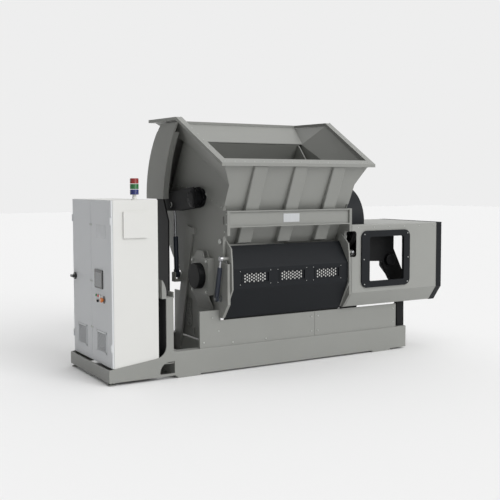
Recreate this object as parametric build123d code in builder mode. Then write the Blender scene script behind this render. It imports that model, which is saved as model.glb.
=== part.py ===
from build123d import *
import os
from math import atan2, cos, degrees, hypot, radians, sin, sqrt

# Single-shaft shredder with swing ram.
# Millimetres.  x runs along the rotor, y from the front to the back, z up.
# The origin lies on the floor at the centre of the four anchor bolts.

os.makedirs("parts", exist_ok=True)

# ---------------------------------------------------------------- driving dimensions
FLOOR = 0

BASE_LEFT = -1720          # ends of the base frame
BASE_RIGHT = 1990
BASE_HALF_DEPTH = 700
FOOT_THICKNESS = 24
BASE_TOP = 330
RAIL_DEPTH = 120
RAIL_WALL = 15
ANCHOR_SPACING_X = 3070    # anchor bolts, hole to hole
ANCHOR_SPACING_Y = 1080
ANCHOR_HOLE_R = 14

PLATE_THICKNESS = 40       # the two side plates of the cutting chamber
LEFT_OUTER = -1091
RIGHT_OUTER = 848
LEFT_INNER = LEFT_OUTER + PLATE_THICKNESS
RIGHT_INNER = RIGHT_OUTER - PLATE_THICKNESS
CHAMBER_MIDDLE = (LEFT_OUTER + RIGHT_OUTER) / 2
CHAMBER_WIDTH = RIGHT_INNER - LEFT_INNER
FRONT = -890               # front edge of side plates, flap and guard

ROTOR_Y = -300
ROTOR_Z = 1209
ROTOR_R = 250
ROTOR_SHAFT_R = 90
RUNNING = 0.05             # radial clearance of a running fit

PIVOT_Y = -210             # axis on which the ram swings
PIVOT_Z = 2222
PIVOT_R = 60
RAM_OUTER_R = 1180
RAM_SIDE_GAP = 11
FLOOR_R = 1195             # chamber floor, swept by the ram's lower edge
HOUSING_R = 1235           # rear housing

HINGE_Y = -720             # axis on which the front flap hangs
HINGE_Z = 1675
HINGE_PIN_R = 22
FLAP_THICKNESS = 10
NOTCH_LOW = 1398           # notch in the side plates round hinge and cylinder pins
NOTCH_HIGH = 1753

GUARD_RIGHT = 2390         # belt guard
GUARD_TOP = 1840
GUARD_CHAMFER_Z = 905
GUARD_CHAMFER_Y = -740
GUARD_BOTTOM = 700
GUARD_REAR = 400
GUARD_WALL = 8

CABINET_LEFT = -2542       # control cabinet
CABINET_RIGHT = -1942
CABINET_BOTTOM = 200
CABINET_TOP = 2208
CABINET_FRONT = -684
CABINET_REAR = 674
DOOR_THICKNESS = 24


def side(x):
    """Plane parallel to the side plates: local x is y, local y is z, normal +x."""
    return Plane.YZ.offset(x)


def facing(y):
    """Plane parallel to the front: local x is x, local y is z, normal -y."""
    return Plane.XZ.offset(-y)


def polar(radius, angle, centre=(PIVOT_Y, PIVOT_Z)):
    """Point (y, z) at a radius and an angle above the horizontal, seen from the left end."""
    return (centre[0] + radius * cos(radians(angle)), centre[1] + radius * sin(radians(angle)))


def finish(part, name):
    """Labels a finished part and writes its STEP file."""
    part.label = name
    export_step(part, f"parts/{name}.step")


# ---------------------------------------------------------------- base frame
# Two channel rails joined by five box cross members, welded.
CROSS_WIDTH = 100
CROSS_X = (BASE_LEFT, LEFT_OUTER - 4, -171, 700, BASE_RIGHT - CROSS_WIDTH)

with BuildPart() as base_frame:
    for mirrored in (1, -1):
        with BuildSketch(side(BASE_LEFT)):
            with BuildLine():
                outer = BASE_HALF_DEPTH * mirrored
                web = (BASE_HALF_DEPTH - RAIL_WALL) * mirrored
                lip = (BASE_HALF_DEPTH - RAIL_DEPTH) * mirrored
                Polyline(
                    (outer, FOOT_THICKNESS), (outer, BASE_TOP), (lip, BASE_TOP),
                    (lip, BASE_TOP - RAIL_WALL), (web, BASE_TOP - RAIL_WALL),
                    (web, FOOT_THICKNESS + RAIL_WALL), (lip, FOOT_THICKNESS + RAIL_WALL),
                    (lip, FOOT_THICKNESS), close=True,
                )
            make_face()
        extrude(amount=BASE_RIGHT - BASE_LEFT)
    for x in CROSS_X:
        with BuildSketch(facing(BASE_HALF_DEPTH - RAIL_WALL)):
            with Locations((x + CROSS_WIDTH / 2, (BASE_TOP + FOOT_THICKNESS) / 2)):
                Rectangle(CROSS_WIDTH, BASE_TOP - FOOT_THICKNESS - 2 * RAIL_WALL)
                Rectangle(CROSS_WIDTH - 16, BASE_TOP - FOOT_THICKNESS - 46, mode=Mode.SUBTRACT)
        extrude(amount=2 * (BASE_HALF_DEPTH - RAIL_WALL))
    rail_edges = base_frame.edges().filter_by(Axis.X).group_by(Axis.Z)[-1]
    fillet(rail_edges.filter_by(lambda e: abs(abs(e.center().Y) - BASE_HALF_DEPTH) < 1), 8)
finish(base_frame.part, "base_frame")

FOOT_LENGTH = 330
FOOT_WIDTH = 240

with BuildPart() as foot_plates:
    with BuildSketch(Plane.XY.offset(FLOOR)):
        with GridLocations(ANCHOR_SPACING_X, 2 * BASE_HALF_DEPTH - FOOT_WIDTH, 2, 2):
            RectangleRounded(FOOT_LENGTH, FOOT_WIDTH, 12)
        with GridLocations(ANCHOR_SPACING_X, ANCHOR_SPACING_Y, 2, 2):
            Circle(ANCHOR_HOLE_R, mode=Mode.SUBTRACT)
    extrude(amount=FOOT_THICKNESS)
finish(foot_plates.part, "foot_plates")

# ---------------------------------------------------------------- cabinet plinth
# Front and rear gusset plates rise into columns; an end beam and a tray carry the cabinet,
# and a bent saddle on the front column carries pipes.
PLINTH_LEFT = -2590
PLINTH_BOTTOM = 38
PLINTH_PLATE = 16
PLINTH_FRONT = CABINET_FRONT - PLINTH_PLATE
PLINTH_REAR = CABINET_REAR + PLINTH_PLATE
COLUMN_LEFT = -1844
COLUMN_RIGHT = -1749
COLUMN_TOP = 1000
COLUMN_FILLET = 150
OPENING_R = 130

with BuildPart() as cabinet_plinth:
    for y in (PLINTH_FRONT, CABINET_REAR):
        with BuildSketch(facing(y)) as gusset:
            with BuildLine():
                Polyline(
                    (PLINTH_LEFT, PLINTH_BOTTOM), (BASE_LEFT, PLINTH_BOTTOM), (BASE_LEFT, 330),
                    (COLUMN_RIGHT, 345), (COLUMN_RIGHT, COLUMN_TOP), (COLUMN_LEFT, COLUMN_TOP),
                    (COLUMN_LEFT, 285), (CABINET_LEFT, 199), (PLINTH_LEFT, 190), close=True,
                )
            make_face()
            fillet(gusset.vertices().filter_by_position(Axis.X, -1850, -1840).sort_by(Axis.Y)[0],
                   COLUMN_FILLET)
            with BuildLine():
                Line((-1734, 67), (-1734, 214))
                Line((-1734, 214), (-1802, 214))
                RadiusArc((-1802, 214), (-1932, 84), -OPENING_R)
                Line((-1932, 84), (-1932, 67))
                Line((-1932, 67), (-1734, 67))
            make_face(mode=Mode.SUBTRACT)
        extrude(amount=-PLINTH_PLATE)
    with BuildSketch(side(PLINTH_LEFT)):
        with Locations(((PLINTH_FRONT + PLINTH_REAR) / 2, (PLINTH_BOTTOM + 190) / 2)):
            Rectangle(PLINTH_REAR - PLINTH_FRONT, 190 - PLINTH_BOTTOM)
    extrude(amount=PLINTH_PLATE)
    with BuildSketch(Plane.XY.offset(CABINET_BOTTOM - 12)):
        with Locations(((CABINET_LEFT + 40 + BASE_LEFT) / 2, (CABINET_FRONT + CABINET_REAR) / 2)):
            Rectangle(BASE_LEFT - CABINET_LEFT - 40, CABINET_REAR - CABINET_FRONT)
    extrude(amount=12)
    with BuildSketch(Plane.XY):
        with Locations((PLINTH_LEFT + 40, PLINTH_FRONT + 60), (PLINTH_LEFT + 40, PLINTH_REAR - 60)):
            Circle(40)
    extrude(amount=12)
    with BuildSketch(Plane.XY.offset(12)):
        with Locations((PLINTH_LEFT + 40, PLINTH_FRONT + 60), (PLINTH_LEFT + 40, PLINTH_REAR - 60)):
            Circle(16)
    extrude(amount=CABINET_BOTTOM - 24)
    with BuildSketch(facing(PLINTH_FRONT)):
        with BuildLine():
            Line((-1900, COLUMN_TOP), (-1740, COLUMN_TOP))
            Line((-1740, COLUMN_TOP), (-1740, COLUMN_TOP + 76))
            Line((-1740, COLUMN_TOP + 76), (-1754, COLUMN_TOP + 76))
            Line((-1754, COLUMN_TOP + 76), (-1754, COLUMN_TOP + 14))
            Line((-1754, COLUMN_TOP + 14), (-1846, COLUMN_TOP + 14))
            ThreePointArc((-1846, COLUMN_TOP + 14), (-1855, COLUMN_TOP + 150), (-1893, COLUMN_TOP + 228))
            Line((-1893, COLUMN_TOP + 228), (-1900, COLUMN_TOP + 228))
            Line((-1900, COLUMN_TOP + 228), (-1900, COLUMN_TOP))
        make_face()
    extrude(amount=-140)
finish(cabinet_plinth.part, "cabinet_plinth")

# ---------------------------------------------------------------- hydraulic unit
with BuildPart() as hydraulic_tank:
    with BuildSketch(Plane.XY.offset(CABINET_BOTTOM)):
        with Locations((-1827, -120)):
            RectangleRounded(186, 860, 25)
    extrude(amount=790)
    fillet(hydraulic_tank.faces().sort_by(Axis.Z)[-1].edges(), 10)
    with BuildSketch(Plane.XY.offset(CABINET_BOTTOM + 790)):
        with Locations((-1827, -420)):
            Circle(40)
    extrude(amount=30)
finish(hydraulic_tank.part, "hydraulic_tank")

with BuildPart() as pump_motor:
    with BuildSketch(Plane.XY.offset(CABINET_BOTTOM + 790)):
        with Locations((-1827, 80)):
            Circle(85)
    extrude(amount=40)
    with BuildSketch(Plane.XY.offset(CABINET_BOTTOM + 830)):
        with Locations((-1827, 80)):
            Circle(72)
    extrude(amount=330)
    chamfer(pump_motor.faces().sort_by(Axis.Z)[-1].edges(), 14)
finish(pump_motor.part, "pump_motor")

# ---------------------------------------------------------------- lower cladding
SHEET_Y = -680
SHEET_THICKNESS = 8
SHEET_TOP = 800
SHEET_LOW_TOP = 666         # under the flap and the guard
SEAM_X = 383
SHEET_LEFT = -1376
SHEET_RIGHT = 1815

with BuildPart() as lower_front_sheets:
    for left, right in ((SHEET_LEFT, SEAM_X - 2), (SEAM_X + 2, SHEET_RIGHT)):
        with BuildSketch(Plane.XY.offset(BASE_TOP)):
            with BuildLine():
                Polyline(
                    (left, SHEET_Y), (right, SHEET_Y), (right, SHEET_Y + 40),
                    (right - SHEET_THICKNESS, SHEET_Y + 40),
                    (right - SHEET_THICKNESS, SHEET_Y + SHEET_THICKNESS),
                    (left + SHEET_THICKNESS, SHEET_Y + SHEET_THICKNESS),
                    (left + SHEET_THICKNESS, SHEET_Y + 40), (left, SHEET_Y + 40), close=True,
                )
            make_face()
        extrude(amount=SHEET_TOP - BASE_TOP)
    with BuildSketch(side(LEFT_OUTER - 2)):
        with BuildLine():
            Polyline((SHEET_Y - 90, SHEET_LOW_TOP), (SHEET_Y + 45, SHEET_LOW_TOP),
                     (SHEET_Y + 45, SHEET_TOP + 10), (SHEET_Y - 90, SHEET_TOP + 10), close=True)
        make_face()
    extrude(amount=SHEET_RIGHT - LEFT_OUTER + 120, mode=Mode.SUBTRACT)
finish(lower_front_sheets.part, "lower_front_sheets")

LOWER_WALL = 20
plate_foot = ((-740, 699), (-475, 734), (-110, 793), (306, 922))

with BuildPart() as lower_side_walls:
    for x in (LEFT_INNER - LOWER_WALL, RIGHT_INNER):
        with BuildSketch(side(x)):
            with BuildLine():
                Polyline(
                    (SHEET_Y + 50, BASE_TOP), (680, BASE_TOP), (680, 920), plate_foot[3],
                    plate_foot[2], plate_foot[1], (SHEET_Y + 50, 713), close=True,
                )
            make_face()
            with Locations((70, 410)):
                SlotOverall(110, 26, rotation=90, mode=Mode.SUBTRACT)
        extrude(amount=LOWER_WALL)
finish(lower_side_walls.part, "lower_side_walls")

# ---------------------------------------------------------------- side plates
# Flame-cut plates that carry rotor, ram shaft, flap hinge and hopper.
PLATE_TAIL = FLOOR_R + 20
HINGE_BORE_R = HINGE_PIN_R + RUNNING
ROTOR_BORE_R = 175
PIVOT_BOSS_R = 100


def plate_profile():
    """Outline of a side plate: front edge with its notch, sloping top, round tail, stepped foot."""
    top_rear = (712, 2351)
    tail_start = polar(PLATE_TAIL, 0)
    tail_end = polar(PLATE_TAIL, -62)
    Polyline(
        tail_end, plate_foot[3], plate_foot[2], plate_foot[1], plate_foot[0],
        (FRONT, 888), (FRONT, NOTCH_LOW), (FRONT + 118, NOTCH_LOW), (FRONT + 118, NOTCH_HIGH),
        (FRONT, NOTCH_HIGH), (FRONT, 2065), (-768, 2067), (-72, 2280), top_rear, tail_start,
    )
    ThreePointArc(tail_start, polar(PLATE_TAIL, -31), tail_end)


def side_plate(x):
    """One side plate with its bores, made from outer face x to the right."""
    with BuildPart() as plate:
        with BuildSketch(side(x)) as outline:
            with BuildLine():
                plate_profile()
            make_face()
            with Locations((PIVOT_Y, PIVOT_Z)):
                Circle(PIVOT_BOSS_R)
            notch = outline.vertices().filter_by_position(Axis.X, FRONT + 110, FRONT + 120)
            fillet(notch, 40)
            with Locations((ROTOR_Y, ROTOR_Z)):
                Circle(ROTOR_BORE_R, mode=Mode.SUBTRACT)
            with Locations((PIVOT_Y, PIVOT_Z)):
                Circle(PIVOT_R + RUNNING, mode=Mode.SUBTRACT)
            with Locations((HINGE_Y, HINGE_Z)):
                Circle(HINGE_BORE_R, mode=Mode.SUBTRACT)
            with Locations((-793, 1943)):
                SlotOverall(110, 34, rotation=90, mode=Mode.SUBTRACT)
        extrude(amount=PLATE_THICKNESS)
    return plate.part


finish(side_plate(LEFT_OUTER), "side_plate_left")
finish(side_plate(RIGHT_INNER), "side_plate_right")

# A flat bar that stays the left side plate to the base frame.
LEG_THICKNESS = 22
LEG_WIDTH = 190
leg_low = (515, 150)
leg_high = (100, 1827)
leg_length = hypot(leg_high[0] - leg_low[0], leg_high[1] - leg_low[1])
leg_angle = degrees(atan2(leg_high[1] - leg_low[1], leg_high[0] - leg_low[0]))

with BuildPart() as frame_leg:
    with BuildSketch(side(LEFT_OUTER - 4 - LEG_THICKNESS)):
        with Locations(((leg_low[0] + leg_high[0]) / 2, (leg_low[1] + leg_high[1]) / 2)):
            Rectangle(leg_length, LEG_WIDTH, rotation=leg_angle)
    extrude(amount=LEG_THICKNESS)
    with BuildSketch(side(LEFT_OUTER - 4)):
        with Locations((60, 1770), (330, 950)):
            Rectangle(90, 90)
    extrude(amount=4)
    with BuildSketch(side(LEFT_OUTER - 4 - LEG_THICKNESS)):
        with Locations((15, 1775)):
            Rectangle(90, 90)
    extrude(amount=LEG_THICKNESS + 4)
finish(frame_leg.part, "frame_leg")

# ---------------------------------------------------------------- cross beam
BEAM_LOW = 1855
BEAM_HIGH = 2063
BEAM_WALL = 14
BEAM_LIP = 26

with BuildPart() as cross_beam:
    with BuildSketch(side(LEFT_INNER)):
        with BuildLine():
            Polyline(
                (FRONT, BEAM_LOW), (FRONT, BEAM_LOW + BEAM_WALL),
                (FRONT + BEAM_LIP, BEAM_LOW + BEAM_WALL), (FRONT + BEAM_LIP, BEAM_HIGH - BEAM_WALL),
                (FRONT, BEAM_HIGH - BEAM_WALL), (FRONT, BEAM_HIGH),
                (FRONT + BEAM_LIP + BEAM_WALL, BEAM_HIGH), (FRONT + BEAM_LIP + BEAM_WALL, BEAM_LOW),
                close=True,
            )
        make_face()
    extrude(amount=CHAMBER_WIDTH)
finish(cross_beam.part, "cross_beam")

# ---------------------------------------------------------------- hopper
# Folded sheet walls.  The front wall is one plane; each side is upright over the side plate
# and flares above a fold; the rear wall leans back from its lower edge to the rim.
WALL = 10
FRONT_SLOPE = -0.5
FRONT_FOOT_Z = 1620
RIM_SLOPE = 0.5867
RIM_FRONT_Z = 2617
RIM_PEAK_Z = 3232
RIM_REAR_Z = 3240
rim_front_y = -780 + FRONT_SLOPE * (RIM_FRONT_Z - 2063)
rim_peak_y = rim_front_y + (RIM_PEAK_Z - RIM_FRONT_Z) / RIM_SLOPE
rim_rear_y = 790


def front_wall_y(z):
    """y of the outside of the inclined front wall at height z."""
    return -780 + FRONT_SLOPE * (z - 2063)


def hopper_side_points(outer, flare_front, flare_rear):
    """Corner points (x, y, z) of one side wall: foot line, fold line and rim line."""
    foot = [(outer, -768, 2067), (outer, -72, 2280), (outer, 712, 2351)]
    fold = [(outer, front_wall_y(2386), 2386), (outer, 316, 2974)]
    rim = [(flare_front, rim_front_y, RIM_FRONT_Z), (flare_rear, rim_peak_y, RIM_PEAK_Z),
           (flare_rear, rim_rear_y, RIM_REAR_Z)]
    return foot, fold, rim


FLARE_FRONT = 125
FLARE_REAR = 195

with BuildPart() as hopper_walls:
    for outer, sign in ((LEFT_OUTER, 1), (RIGHT_OUTER, -1)):
        foot, fold, rim = hopper_side_points(outer, outer - sign * FLARE_FRONT, outer - sign * FLARE_REAR)
        upright = Face(Wire.make_polygon([foot[0], foot[1], foot[2], fold[1], fold[0]], close=True))
        extrude(upright, amount=WALL, dir=(sign, 0, 0))
        facets = ((fold[0], fold[1], rim[1]), (fold[0], rim[1], rim[0]), (fold[1], rim[2], rim[1]))
        for a, b, c in facets:
            extrude(Face(Wire.make_polygon([a, b, c], close=True)), amount=WALL, dir=(sign, 0, 0))
    front_corners = [
        (LEFT_OUTER + PLATE_THICKNESS + 2, front_wall_y(FRONT_FOOT_Z), FRONT_FOOT_Z),
        (RIGHT_OUTER - PLATE_THICKNESS - 2, front_wall_y(FRONT_FOOT_Z), FRONT_FOOT_Z),
        (RIGHT_OUTER - PLATE_THICKNESS - 2, front_wall_y(2120), 2120),
        (RIGHT_OUTER, front_wall_y(2120), 2120),
        (RIGHT_OUTER, front_wall_y(2386), 2386),
        (RIGHT_OUTER + FLARE_FRONT, rim_front_y, RIM_FRONT_Z),
        (LEFT_OUTER - FLARE_FRONT, rim_front_y, RIM_FRONT_Z),
        (LEFT_OUTER, front_wall_y(2386), 2386),
        (LEFT_OUTER, front_wall_y(2120), 2120),
        (LEFT_OUTER + PLATE_THICKNESS + 2, front_wall_y(2120), 2120),
    ]
    extrude(Face(Wire.make_polygon(front_corners, close=True)), amount=WALL, dir=(0, 1, 0))
    rear_corners = [
        (LEFT_OUTER, 316, 2974), (RIGHT_OUTER, 316, 2974),
        (RIGHT_OUTER + FLARE_REAR - 14, rim_rear_y, RIM_REAR_Z),
        (LEFT_OUTER - FLARE_REAR + 14, rim_rear_y, RIM_REAR_Z),
    ]
    extrude(Face(Wire.make_polygon(rear_corners, close=True)), amount=WALL, dir=(0, 0, 1))
    with BuildSketch(side(LEFT_OUTER - 1)):
        with Locations((PIVOT_Y, PIVOT_Z)):
            Circle(PIVOT_BOSS_R + 1)
    extrude(amount=RIGHT_OUTER - LEFT_OUTER + 2, mode=Mode.SUBTRACT)
finish(hopper_walls.part, "hopper_walls")

# Three folded ribs on the front wall, each a shallow channel that grows deeper downwards.
RIB_WIDTH = 200
RIB_PITCH = 601
RIB_SLOPE = -0.45
RIB_LOW_Z = 1625
RIB_HIGH_Z = RIM_FRONT_Z - 4
RIB_FOLD = 16


def rib_y(z):
    """y of the front of the ribs at height z."""
    return -640 + RIB_SLOPE * (z - 1600)


with BuildPart() as hopper_ribs:
    for k in (-1, 0, 1):
        with BuildSketch(side(CHAMBER_MIDDLE + 14 + k * RIB_PITCH - RIB_WIDTH / 2)):
            with BuildLine():
                Polyline(
                    (front_wall_y(RIB_LOW_Z), RIB_LOW_Z), (front_wall_y(RIB_HIGH_Z), RIB_HIGH_Z),
                    (rib_y(RIB_HIGH_Z), RIB_HIGH_Z), (rib_y(RIB_LOW_Z + 20), RIB_LOW_Z + 20), close=True,
                )
            make_face()
        extrude(amount=RIB_WIDTH)
    folds = hopper_ribs.edges().filter_by(
        lambda e: abs(e.tangent_at(0.5).X) < 0.1 and e.length > 500
        and e.center().Y < front_wall_y(e.center().Z) - 20)
    fillet(folds, RIB_FOLD)
finish(hopper_ribs.part, "hopper_ribs")

# Rim: a flange of angle section round the mouth.
RIM_WIDTH = 90
RIM_HEIGHT = 40


with BuildPart() as hopper_rim:
    for outer, sign in ((LEFT_OUTER, 1), (RIGHT_OUTER, -1)):
        front_x = outer - sign * (FLARE_FRONT - 12)
        rear_x = outer - sign * (FLARE_REAR - 12)
        front_end = (front_x, rim_front_y - 74, RIM_FRONT_Z)
        peak = (rear_x, rim_peak_y, RIM_PEAK_Z + 2)
        rear_end = (rear_x, rim_rear_y + 70, RIM_REAR_Z + 6)
        for start, stop in ((front_end, peak), (peak, rear_end)):
            for x, y, z in (start, stop):
                with BuildSketch(facing(y)):
                    with Locations((x - sign * RIM_WIDTH / 2, z + RIM_HEIGHT / 2)):
                        Rectangle(RIM_WIDTH, RIM_HEIGHT)
            loft(ruled=True)
    with BuildSketch(side(LEFT_OUTER - FLARE_FRONT - RIM_WIDTH + 12)):
        with BuildLine():
            low = rim_front_y - 74
            Polyline((low, RIM_FRONT_Z), (low, RIM_FRONT_Z + RIM_HEIGHT),
                     (low + RIM_WIDTH, RIM_FRONT_Z + RIM_HEIGHT + RIM_WIDTH * RIM_SLOPE),
                     (low + RIM_WIDTH, RIM_FRONT_Z + RIM_WIDTH * RIM_SLOPE),
                     (low + RIM_HEIGHT, RIM_FRONT_Z + 8), close=True)
        make_face()
    extrude(amount=RIGHT_OUTER - LEFT_OUTER + 2 * (FLARE_FRONT + RIM_WIDTH - 12))
    with BuildSketch(side(LEFT_OUTER - FLARE_REAR - RIM_WIDTH + 12)):
        with BuildLine():
            Polyline((rim_rear_y - 6, RIM_REAR_Z + 12), (rim_rear_y + 70, RIM_REAR_Z + 6),
                     (rim_rear_y + 70, RIM_REAR_Z + 46), (rim_rear_y - 6, RIM_REAR_Z + 46), close=True)
        make_face()
    extrude(amount=RIGHT_OUTER - LEFT_OUTER + 2 * (FLARE_REAR + RIM_WIDTH - 12))
finish(hopper_rim.part, "hopper_rim")

# ---------------------------------------------------------------- rear housing
# Two crescent side plates with a flange on their front curve, and a rolled cover between them.
HOUSING_WALL = 20
HOUSING_LEFT = LEFT_OUTER - 238
HOUSING_RIGHT = RIGHT_OUTER + 238
HOUSING_TOP = 3212
COVER_TOP = 3118
HOUSING_FOOT = 2195
CURVE_CENTRE = (-1233, 2033)
CURVE_R = 1720
FLANGE_TOP = 3085
FLANGE_WIDTH = 62
FLANGE_WALL = 12


def curve_point(z, radius=CURVE_R):
    """Point (y, z) on the front curve of the housing."""
    return (CURVE_CENTRE[0] + sqrt(radius ** 2 - (z - CURVE_CENTRE[1]) ** 2), z)


def housing_arc_end(z, radius=HOUSING_R):
    """Point (y, z) on the outer arc of the housing."""
    return (PIVOT_Y + sqrt(radius ** 2 - (z - PIVOT_Z) ** 2), z)


with BuildPart() as ram_housing_sides:
    for x, flange_x in ((HOUSING_LEFT, HOUSING_LEFT + HOUSING_WALL),
                        (HOUSING_RIGHT - HOUSING_WALL, HOUSING_RIGHT - HOUSING_WALL - FLANGE_WIDTH)):
        with BuildSketch(side(x)):
            with BuildLine():
                ThreePointArc(curve_point(HOUSING_TOP), curve_point(2700), curve_point(HOUSING_FOOT))
                Line(curve_point(HOUSING_FOOT), housing_arc_end(HOUSING_FOOT))
                ThreePointArc(housing_arc_end(HOUSING_FOOT), polar(HOUSING_R, 26),
                              housing_arc_end(HOUSING_TOP))
                Line(housing_arc_end(HOUSING_TOP), curve_point(HOUSING_TOP))
            make_face()
        extrude(amount=HOUSING_WALL)
        with BuildSketch(side(flange_x)):
            with BuildLine():
                inner_r = CURVE_R + FLANGE_WALL
                ThreePointArc(curve_point(FLANGE_TOP), curve_point(2650), curve_point(HOUSING_FOOT))
                Line(curve_point(HOUSING_FOOT), curve_point(HOUSING_FOOT, inner_r))
                ThreePointArc(curve_point(HOUSING_FOOT, inner_r), curve_point(2650, inner_r),
                              curve_point(FLANGE_TOP, inner_r))
                Line(curve_point(FLANGE_TOP, inner_r), curve_point(FLANGE_TOP))
            make_face()
        extrude(amount=FLANGE_WIDTH)
finish(ram_housing_sides.part, "ram_housing_sides")

# A sheet post carries the housing's left side on the base frame.
POST_REAR = 690
POST_FRONT = 330

with BuildPart() as ram_housing_post:
    with BuildSketch(side(HOUSING_LEFT)):
        with BuildLine():
            Polyline((POST_FRONT, BASE_TOP), (POST_REAR, BASE_TOP), (POST_REAR, HOUSING_FOOT),
                     (curve_point(HOUSING_FOOT)[0], HOUSING_FOOT), (POST_FRONT, 1900), close=True)
        make_face()
    extrude(amount=HOUSING_WALL)
finish(ram_housing_post.part, "ram_housing_post")

with BuildPart() as ram_housing_cover:
    with BuildSketch(side(HOUSING_LEFT)):
        with BuildLine():
            outer_r = HOUSING_R + 10
            ThreePointArc(housing_arc_end(HOUSING_FOOT), polar(HOUSING_R, 22), housing_arc_end(COVER_TOP))
            Line(housing_arc_end(COVER_TOP), housing_arc_end(COVER_TOP, outer_r))
            ThreePointArc(housing_arc_end(COVER_TOP, outer_r), polar(outer_r, 22),
                          housing_arc_end(HOUSING_FOOT, outer_r))
            Line(housing_arc_end(HOUSING_FOOT, outer_r), housing_arc_end(HOUSING_FOOT))
        make_face()
    extrude(amount=HOUSING_RIGHT - HOUSING_LEFT)
    with BuildSketch(side(LEFT_OUTER)):
        with BuildLine():
            Polyline(polar(PLATE_TAIL + 2, -1.2), polar(HOUSING_R, -1.2), polar(HOUSING_R, 0.5),
                     polar(PLATE_TAIL + 2, 0.5), close=True)
        make_face()
    extrude(amount=RIGHT_OUTER - LEFT_OUTER)
    for x in (HOUSING_LEFT + HOUSING_WALL, RIGHT_OUTER):
        width = (LEFT_OUTER - HOUSING_LEFT - HOUSING_WALL)
        with BuildSketch(side(x)):
            with BuildLine():
                Polyline((715, HOUSING_FOOT), housing_arc_end(HOUSING_FOOT),
                         housing_arc_end(HOUSING_FOOT + 12), (715, HOUSING_FOOT + 12), close=True)
            make_face()
        extrude(amount=width)
finish(ram_housing_cover.part, "ram_housing_cover")

# ---------------------------------------------------------------- chamber inside
with BuildPart() as chamber_floor:
    with BuildSketch(side(LEFT_INNER)):
        with BuildLine():
            top = polar(FLOOR_R, -1.5)
            low = polar(FLOOR_R, -74)
            ThreePointArc(top, polar(FLOOR_R, -38), low)
            Line(low, polar(PLATE_TAIL, -74))
            ThreePointArc(polar(PLATE_TAIL, -74), polar(PLATE_TAIL, -38), polar(PLATE_TAIL, -1.5))
            Line(polar(PLATE_TAIL, -1.5), top)
        make_face()
    extrude(amount=CHAMBER_WIDTH)
finish(chamber_floor.part, "chamber_floor")

KNIFE_GAP = 2
KNIFE_TIP_R = ROTOR_R + 34
SCREEN_R = KNIFE_TIP_R + 14
counter_y = ROTOR_Y + KNIFE_TIP_R + KNIFE_GAP

with BuildPart() as counter_knife:
    with BuildSketch(side(LEFT_INNER)):
        with BuildLine():
            Polyline((counter_y, ROTOR_Z + 4), (counter_y + 95, ROTOR_Z + 4),
                     (counter_y + 95, ROTOR_Z - 26), (counter_y + 4, ROTOR_Z - 26), close=True)
        make_face()
    extrude(amount=CHAMBER_WIDTH)
    with BuildSketch(side(LEFT_INNER)):
        with BuildLine():
            Polyline((counter_y + 14, ROTOR_Z - 26), (counter_y + 110, ROTOR_Z - 26),
                     (counter_y + 110, ROTOR_Z - 130), (counter_y + 40, ROTOR_Z - 130), close=True)
        make_face()
    extrude(amount=CHAMBER_WIDTH)
finish(counter_knife.part, "counter_knife")

SCREEN_HOLE_R = 30
screen_angles = [-150 + 12 * k for k in range(11)]

with BuildPart() as screen:
    with BuildSketch(side(LEFT_INNER + 3)):
        with BuildLine():
            centre = (ROTOR_Y, ROTOR_Z)
            ThreePointArc(polar(SCREEN_R, -160, centre), polar(SCREEN_R, -90, centre),
                          polar(SCREEN_R, -24, centre))
            Line(polar(SCREEN_R, -24, centre), polar(SCREEN_R + 14, -24, centre))
            ThreePointArc(polar(SCREEN_R + 14, -24, centre), polar(SCREEN_R + 14, -90, centre),
                          polar(SCREEN_R + 14, -160, centre))
            Line(polar(SCREEN_R + 14, -160, centre), polar(SCREEN_R, -160, centre))
        make_face()
    extrude(amount=CHAMBER_WIDTH - 6)
    for angle in screen_angles:
        y, z = polar(SCREEN_R - 20, angle, (ROTOR_Y, ROTOR_Z))
        outward = (0, cos(radians(angle)), sin(radians(angle)))
        with BuildSketch(Plane(origin=(CHAMBER_MIDDLE, y, z), x_dir=(1, 0, 0), z_dir=outward)):
            with GridLocations(100, 1, 18, 1):
                Circle(SCREEN_HOLE_R)
        extrude(amount=60, mode=Mode.SUBTRACT)
finish(screen.part, "screen")

# ---------------------------------------------------------------- rotor
ROTOR_LEFT = LEFT_INNER + 12
ROTOR_RIGHT = RIGHT_INNER - 12
SHAFT_LEFT = LEFT_OUTER - 86
SHAFT_RIGHT = RIGHT_OUTER + 130
GROOVE = 14
KNIFE_SIZE = 40
KNIFE_ROWS = 4
KNIFE_PITCH = 130

with BuildPart() as rotor_drum:
    with BuildSketch(Plane.XY):
        with BuildLine():
            steps = round((ROTOR_RIGHT - ROTOR_LEFT) / (KNIFE_PITCH / 2))
            step = (ROTOR_RIGHT - ROTOR_LEFT) / steps
            ridge = [(ROTOR_LEFT + k * step, ROTOR_Y + ROTOR_R - (GROOVE if k % 2 else 0))
                     for k in range(steps + 1)]
            Polyline((ROTOR_LEFT, ROTOR_Y + ROTOR_SHAFT_R), *ridge,
                     (ROTOR_RIGHT, ROTOR_Y + ROTOR_SHAFT_R), close=True)
        make_face()
    revolve(axis=Axis((0, ROTOR_Y, 0), (1, 0, 0)))
drum = rotor_drum.part.moved(Location((0, 0, ROTOR_Z)))
finish(drum, "rotor_drum")

with BuildPart() as rotor_knives:
    columns = round((ROTOR_RIGHT - ROTOR_LEFT) / step / 2) - 1
    for row in range(KNIFE_ROWS):
        for column in range(row % 2, columns, 2):
            angle = 90 * row + 14 * (column % 4)
            x = ROTOR_LEFT + step * (1 + 2 * column)
            y, z = polar(ROTOR_R + 1, angle, (ROTOR_Y, ROTOR_Z))
            outward = (0, cos(radians(angle)), sin(radians(angle)))
            with BuildSketch(Plane(origin=(x, y, z), x_dir=(1, 0, 0), z_dir=outward)):
                Rectangle(KNIFE_SIZE, KNIFE_SIZE, rotation=45)
            extrude(amount=28)
finish(rotor_knives.part, "rotor_knives")

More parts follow.
